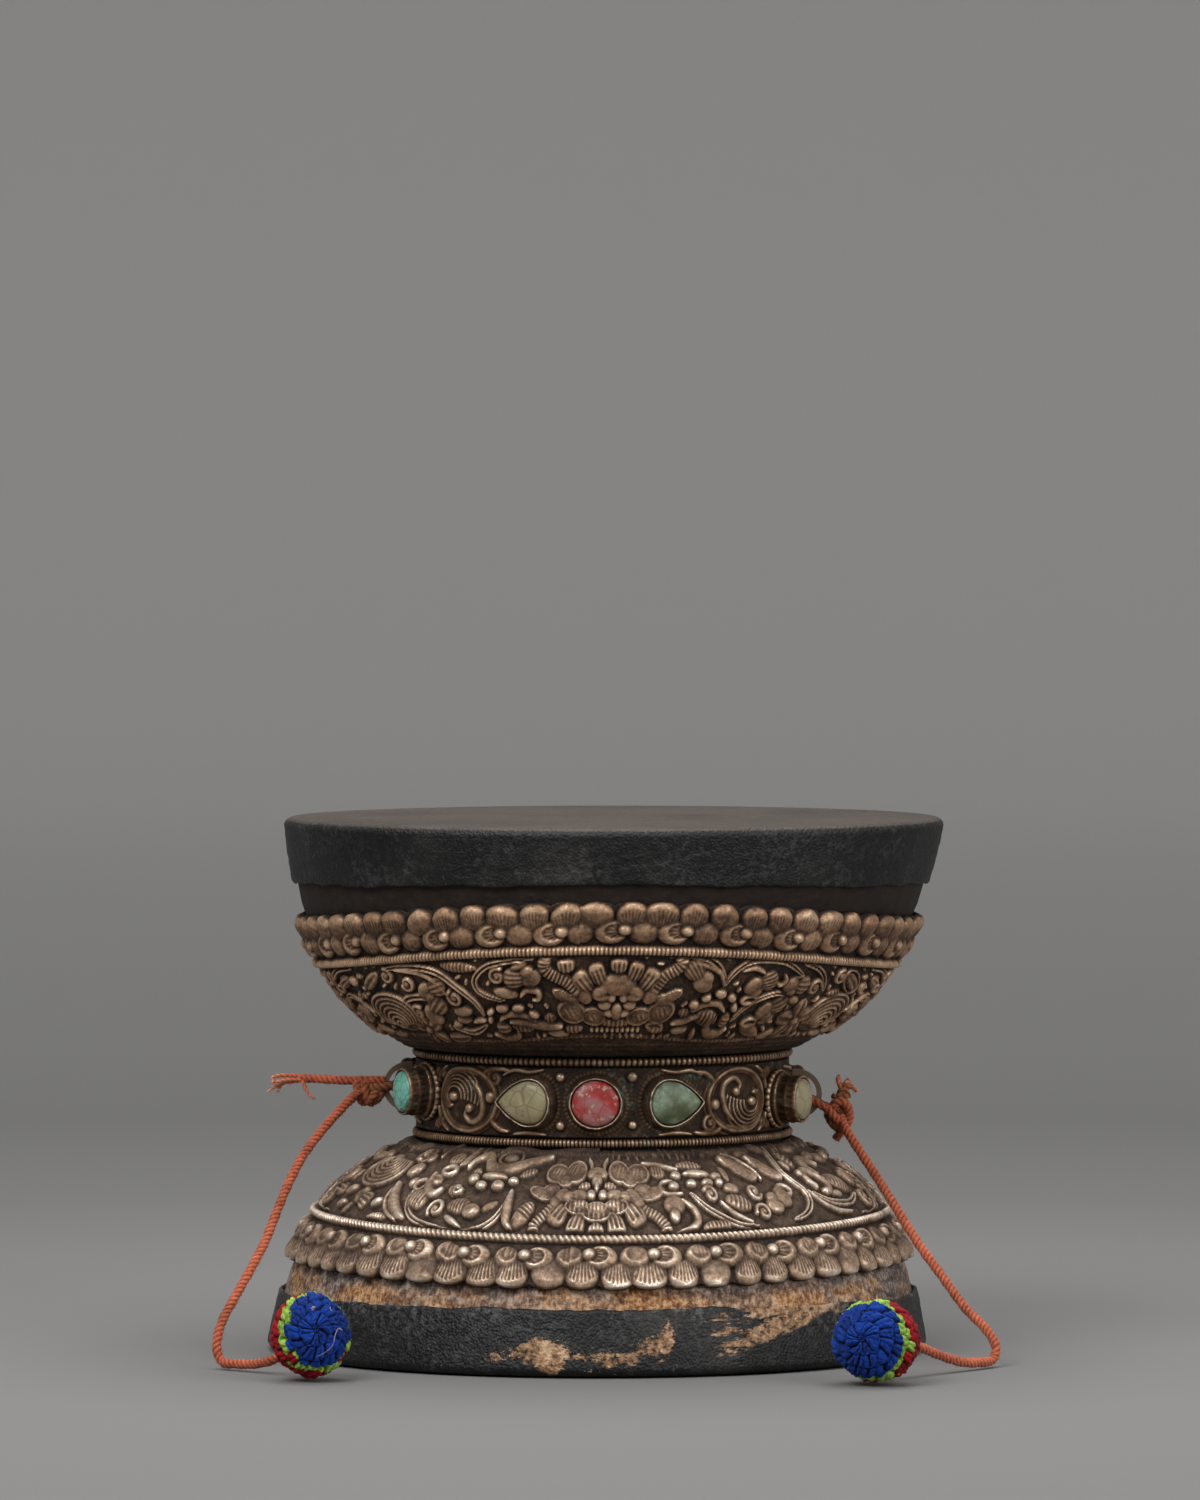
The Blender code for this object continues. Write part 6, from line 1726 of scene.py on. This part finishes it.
def make_ball(side, edges, skew, strays=()):
    """A striker's crocheted cover, its rounds turning about the middle of the blue cap."""
    centre, width, height = BALLS[side][:3]
    pole = ball_pole(side)
    first = unit(np.cross(pole, (0, 0, 1)))
    second = np.cross(pole, first)
    hole = math.asin((CORD_DIAMETER / 2 + GAP) / (width / 2))
    fall = np.linspace(0.012, math.pi - hole, BALL_ROWS)[:, None]
    turn = np.linspace(0, 2 * math.pi, BALL_COLUMNS, endpoint=False)[None, :]
    fall, turn = np.broadcast_arrays(fall, turn)
    rise, look, number = stitches(fall, turn, skew)
    uneven = 0.5 + 0.5 * ripple(fall * 17, turn * 13 * np.sin(fall))
    look = np.clip(look + 0.4 * (uneven - 0.5), 0, 1)
    size = width / 2 - STITCH_DEPTH * (1 - rise) - 0.26 * uneven
    shape = (pole * np.cos(fall)[..., None] + first * (np.sin(fall) * np.cos(turn))[..., None]
             + second * (np.sin(fall) * np.sin(turn))[..., None])
    bands = colour_bands(np.arccos(np.clip(shape @ ball_pole(side, 5), -1, 1)), number, edges)
    outer = centre + shape * size[..., None] * (1, 1, height / width)
    lining = np.linspace(math.pi - hole, 0.012, 10)[:, None]
    lining, spin = np.broadcast_arrays(lining, turn[:1])
    inner = (pole * np.cos(lining)[..., None] + first * (np.sin(lining) * np.cos(spin))[..., None]
             + second * (np.sin(lining) * np.sin(spin))[..., None])
    inner = centre + inner * (width / 2 - BALL_WALL) * (1, 1, height / width)
    solid = Solid()
    solid.grid(np.vstack([outer, inner]) * MM, np.vstack([look, np.full(lining.shape, 0.1)]),
               np.vstack([bands, np.full(lining.shape, 0.9)]), close_columns=True)
    for _ in range(700):
        row = chance.randrange(3, BALL_ROWS - 3)
        column = chance.randrange(BALL_COLUMNS)
        if chance.random() > math.sin(fall[row, 0]):
            continue
        out = unit(outer[row, column] - centre)
        lay = unit(np.cross(out, [chance.uniform(-1, 1) for _ in range(3)]))
        reach = chance.uniform(0.35, 0.85)
        start = outer[row, column] - out * 0.1
        middle = start + (0.55 * out + 0.6 * lay) * reach * 0.6
        tip = middle + (0.2 * out + lay) * reach * 0.5
        add_fibre(solid, [start, middle, tip], 0.03, chance.uniform(0.5, 0.9), bands[row, column])
    for spots in strays:
        line = smooth_route([centre + unit(pole + first * u + second * v) * (width / 2 + 0.12)
                             for u, v in spots], 0.2)
        add_fibre(solid, line, 0.07, 0.9, 1.0)
    solid.piece(f"{side}_ball_crochet", "ball", body=f"{side}_ball", slot="ball_cotton",
                replaces=(f"{side}_ball_cover",))


# A loose pink thread and two wisps of pale fluff lie on the left ball
make_ball("left", (63, 80), 0.0, strays=LEFT_STRAYS)
make_ball("right", (68, 86), 0.3)
dress("left_ball_core", "core")
dress("right_ball_core", "core")

# Floor, lights and camera

FLOOR_RADIUS = 2.6
SWEEP_RADIUS = 1.2
WALL_TOP = 3.6
# Distance from the middle in metres, and how pale the floor and its sweep are there. The paleness is painted light:
# dimmer round the drum and paler up the sweep, standing in for how the studio light falls.
FLOOR_PAINTED_LIGHT = ((0.0, 0.17), (0.14, 0.18), (0.35, 0.15), (0.6, 0.145), (1.0, 0.22), (1.5, 0.31), (2.6, 0.46),
                (3.3, 0.49))


def make_stage():
    """A floor that sweeps up into a round backdrop, so that no edge shows from any side."""
    outline = [(0.02, 0.0), (0.5, 0.0), (1.5, 0.0)]
    for step in range(25):
        angle = math.pi / 2 * step / 24
        outline.append((FLOOR_RADIUS + SWEEP_RADIUS * math.sin(angle), SWEEP_RADIUS * (1 - math.cos(angle))))
    outline.append((FLOOR_RADIUS + SWEEP_RADIUS, WALL_TOP))
    turn = np.linspace(0, 2 * math.pi, 96, endpoint=False)
    points = []
    for radius, height in outline:
        points += [(radius * math.cos(t), radius * math.sin(t), height - 0.0003) for t in turn]
    faces = [tuple(range(96))]
    for row in range(len(outline) - 1):
        for step in range(96):
            after = (step + 1) % 96
            faces.append((row * 96 + step, row * 96 + 96 + step, row * 96 + 96 + after, row * 96 + after))
    mesh = bpy.data.meshes.new("floor")
    mesh.from_pydata(points, [], faces)
    mesh.shade_smooth()
    n = Nodes("floor_grey")
    x, y, z = n.axes()
    reach = n.math("SQRT", n.math("ADD", n.math("MULTIPLY", x, x), n.math("MULTIPLY", y, y)))
    # The floor's colour ramp is painted light, darkest round the drum and palest up the wall.
    light_stops = [(level / 3.4, (level_grey, level_grey * 0.99, level_grey * 0.975)) for level, level_grey in FLOOR_PAINTED_LIGHT]
    mesh.materials.append(n.set(colour=n.ramp(n.math("DIVIDE", reach, 3.4), light_stops), roughness=0.9,
                                specular=0.3))
    floor = bpy.data.objects.new("floor", mesh)
    bpy.context.scene.collection.objects.link(floor)
    world = bpy.data.worlds.new("studio")
    world.use_nodes = True
    world.node_tree.nodes["Background"].inputs["Color"].default_value = (1.0, 1.0, 1.0, 1)
    world.node_tree.nodes["Background"].inputs["Strength"].default_value = 0.75
    bpy.context.scene.world = world


def area_light(name, place, size, power):
    light = bpy.data.lights.new(name, "AREA")
    light.energy = power
    light.size = size
    lamp = bpy.data.objects.new(name, light)
    lamp.location = place
    aim = Vector((0, 0, 0.045)) - Vector(place)
    lamp.rotation_euler = aim.to_track_quat("-Z", "Y").to_euler()
    bpy.context.scene.collection.objects.link(lamp)


CAMERA_PLACE = (-0.00044, -1.6, 0.1505)
CAMERA_PITCH = 1.62
CAMERA_LENS = 217.9


def make_camera():
    camera = bpy.data.cameras.new("camera")
    camera.lens = CAMERA_LENS
    camera.sensor_width = 36.0
    eye = bpy.data.objects.new("camera", camera)
    eye.location = CAMERA_PLACE
    eye.rotation_euler = (math.radians(90 - CAMERA_PITCH), 0, 0)
    bpy.context.scene.collection.objects.link(eye)
    bpy.context.scene.camera = eye


make_stage()
area_light("key", (-0.45, -0.75, 0.85), 0.6, 9.0)
area_light("fill", (0.75, -0.65, 0.45), 0.7, 5.0)
area_light("top", (0.05, 0.15, 1.0), 0.8, 6.0)
make_camera()
bpy.context.scene.view_settings.view_transform = "Standard"
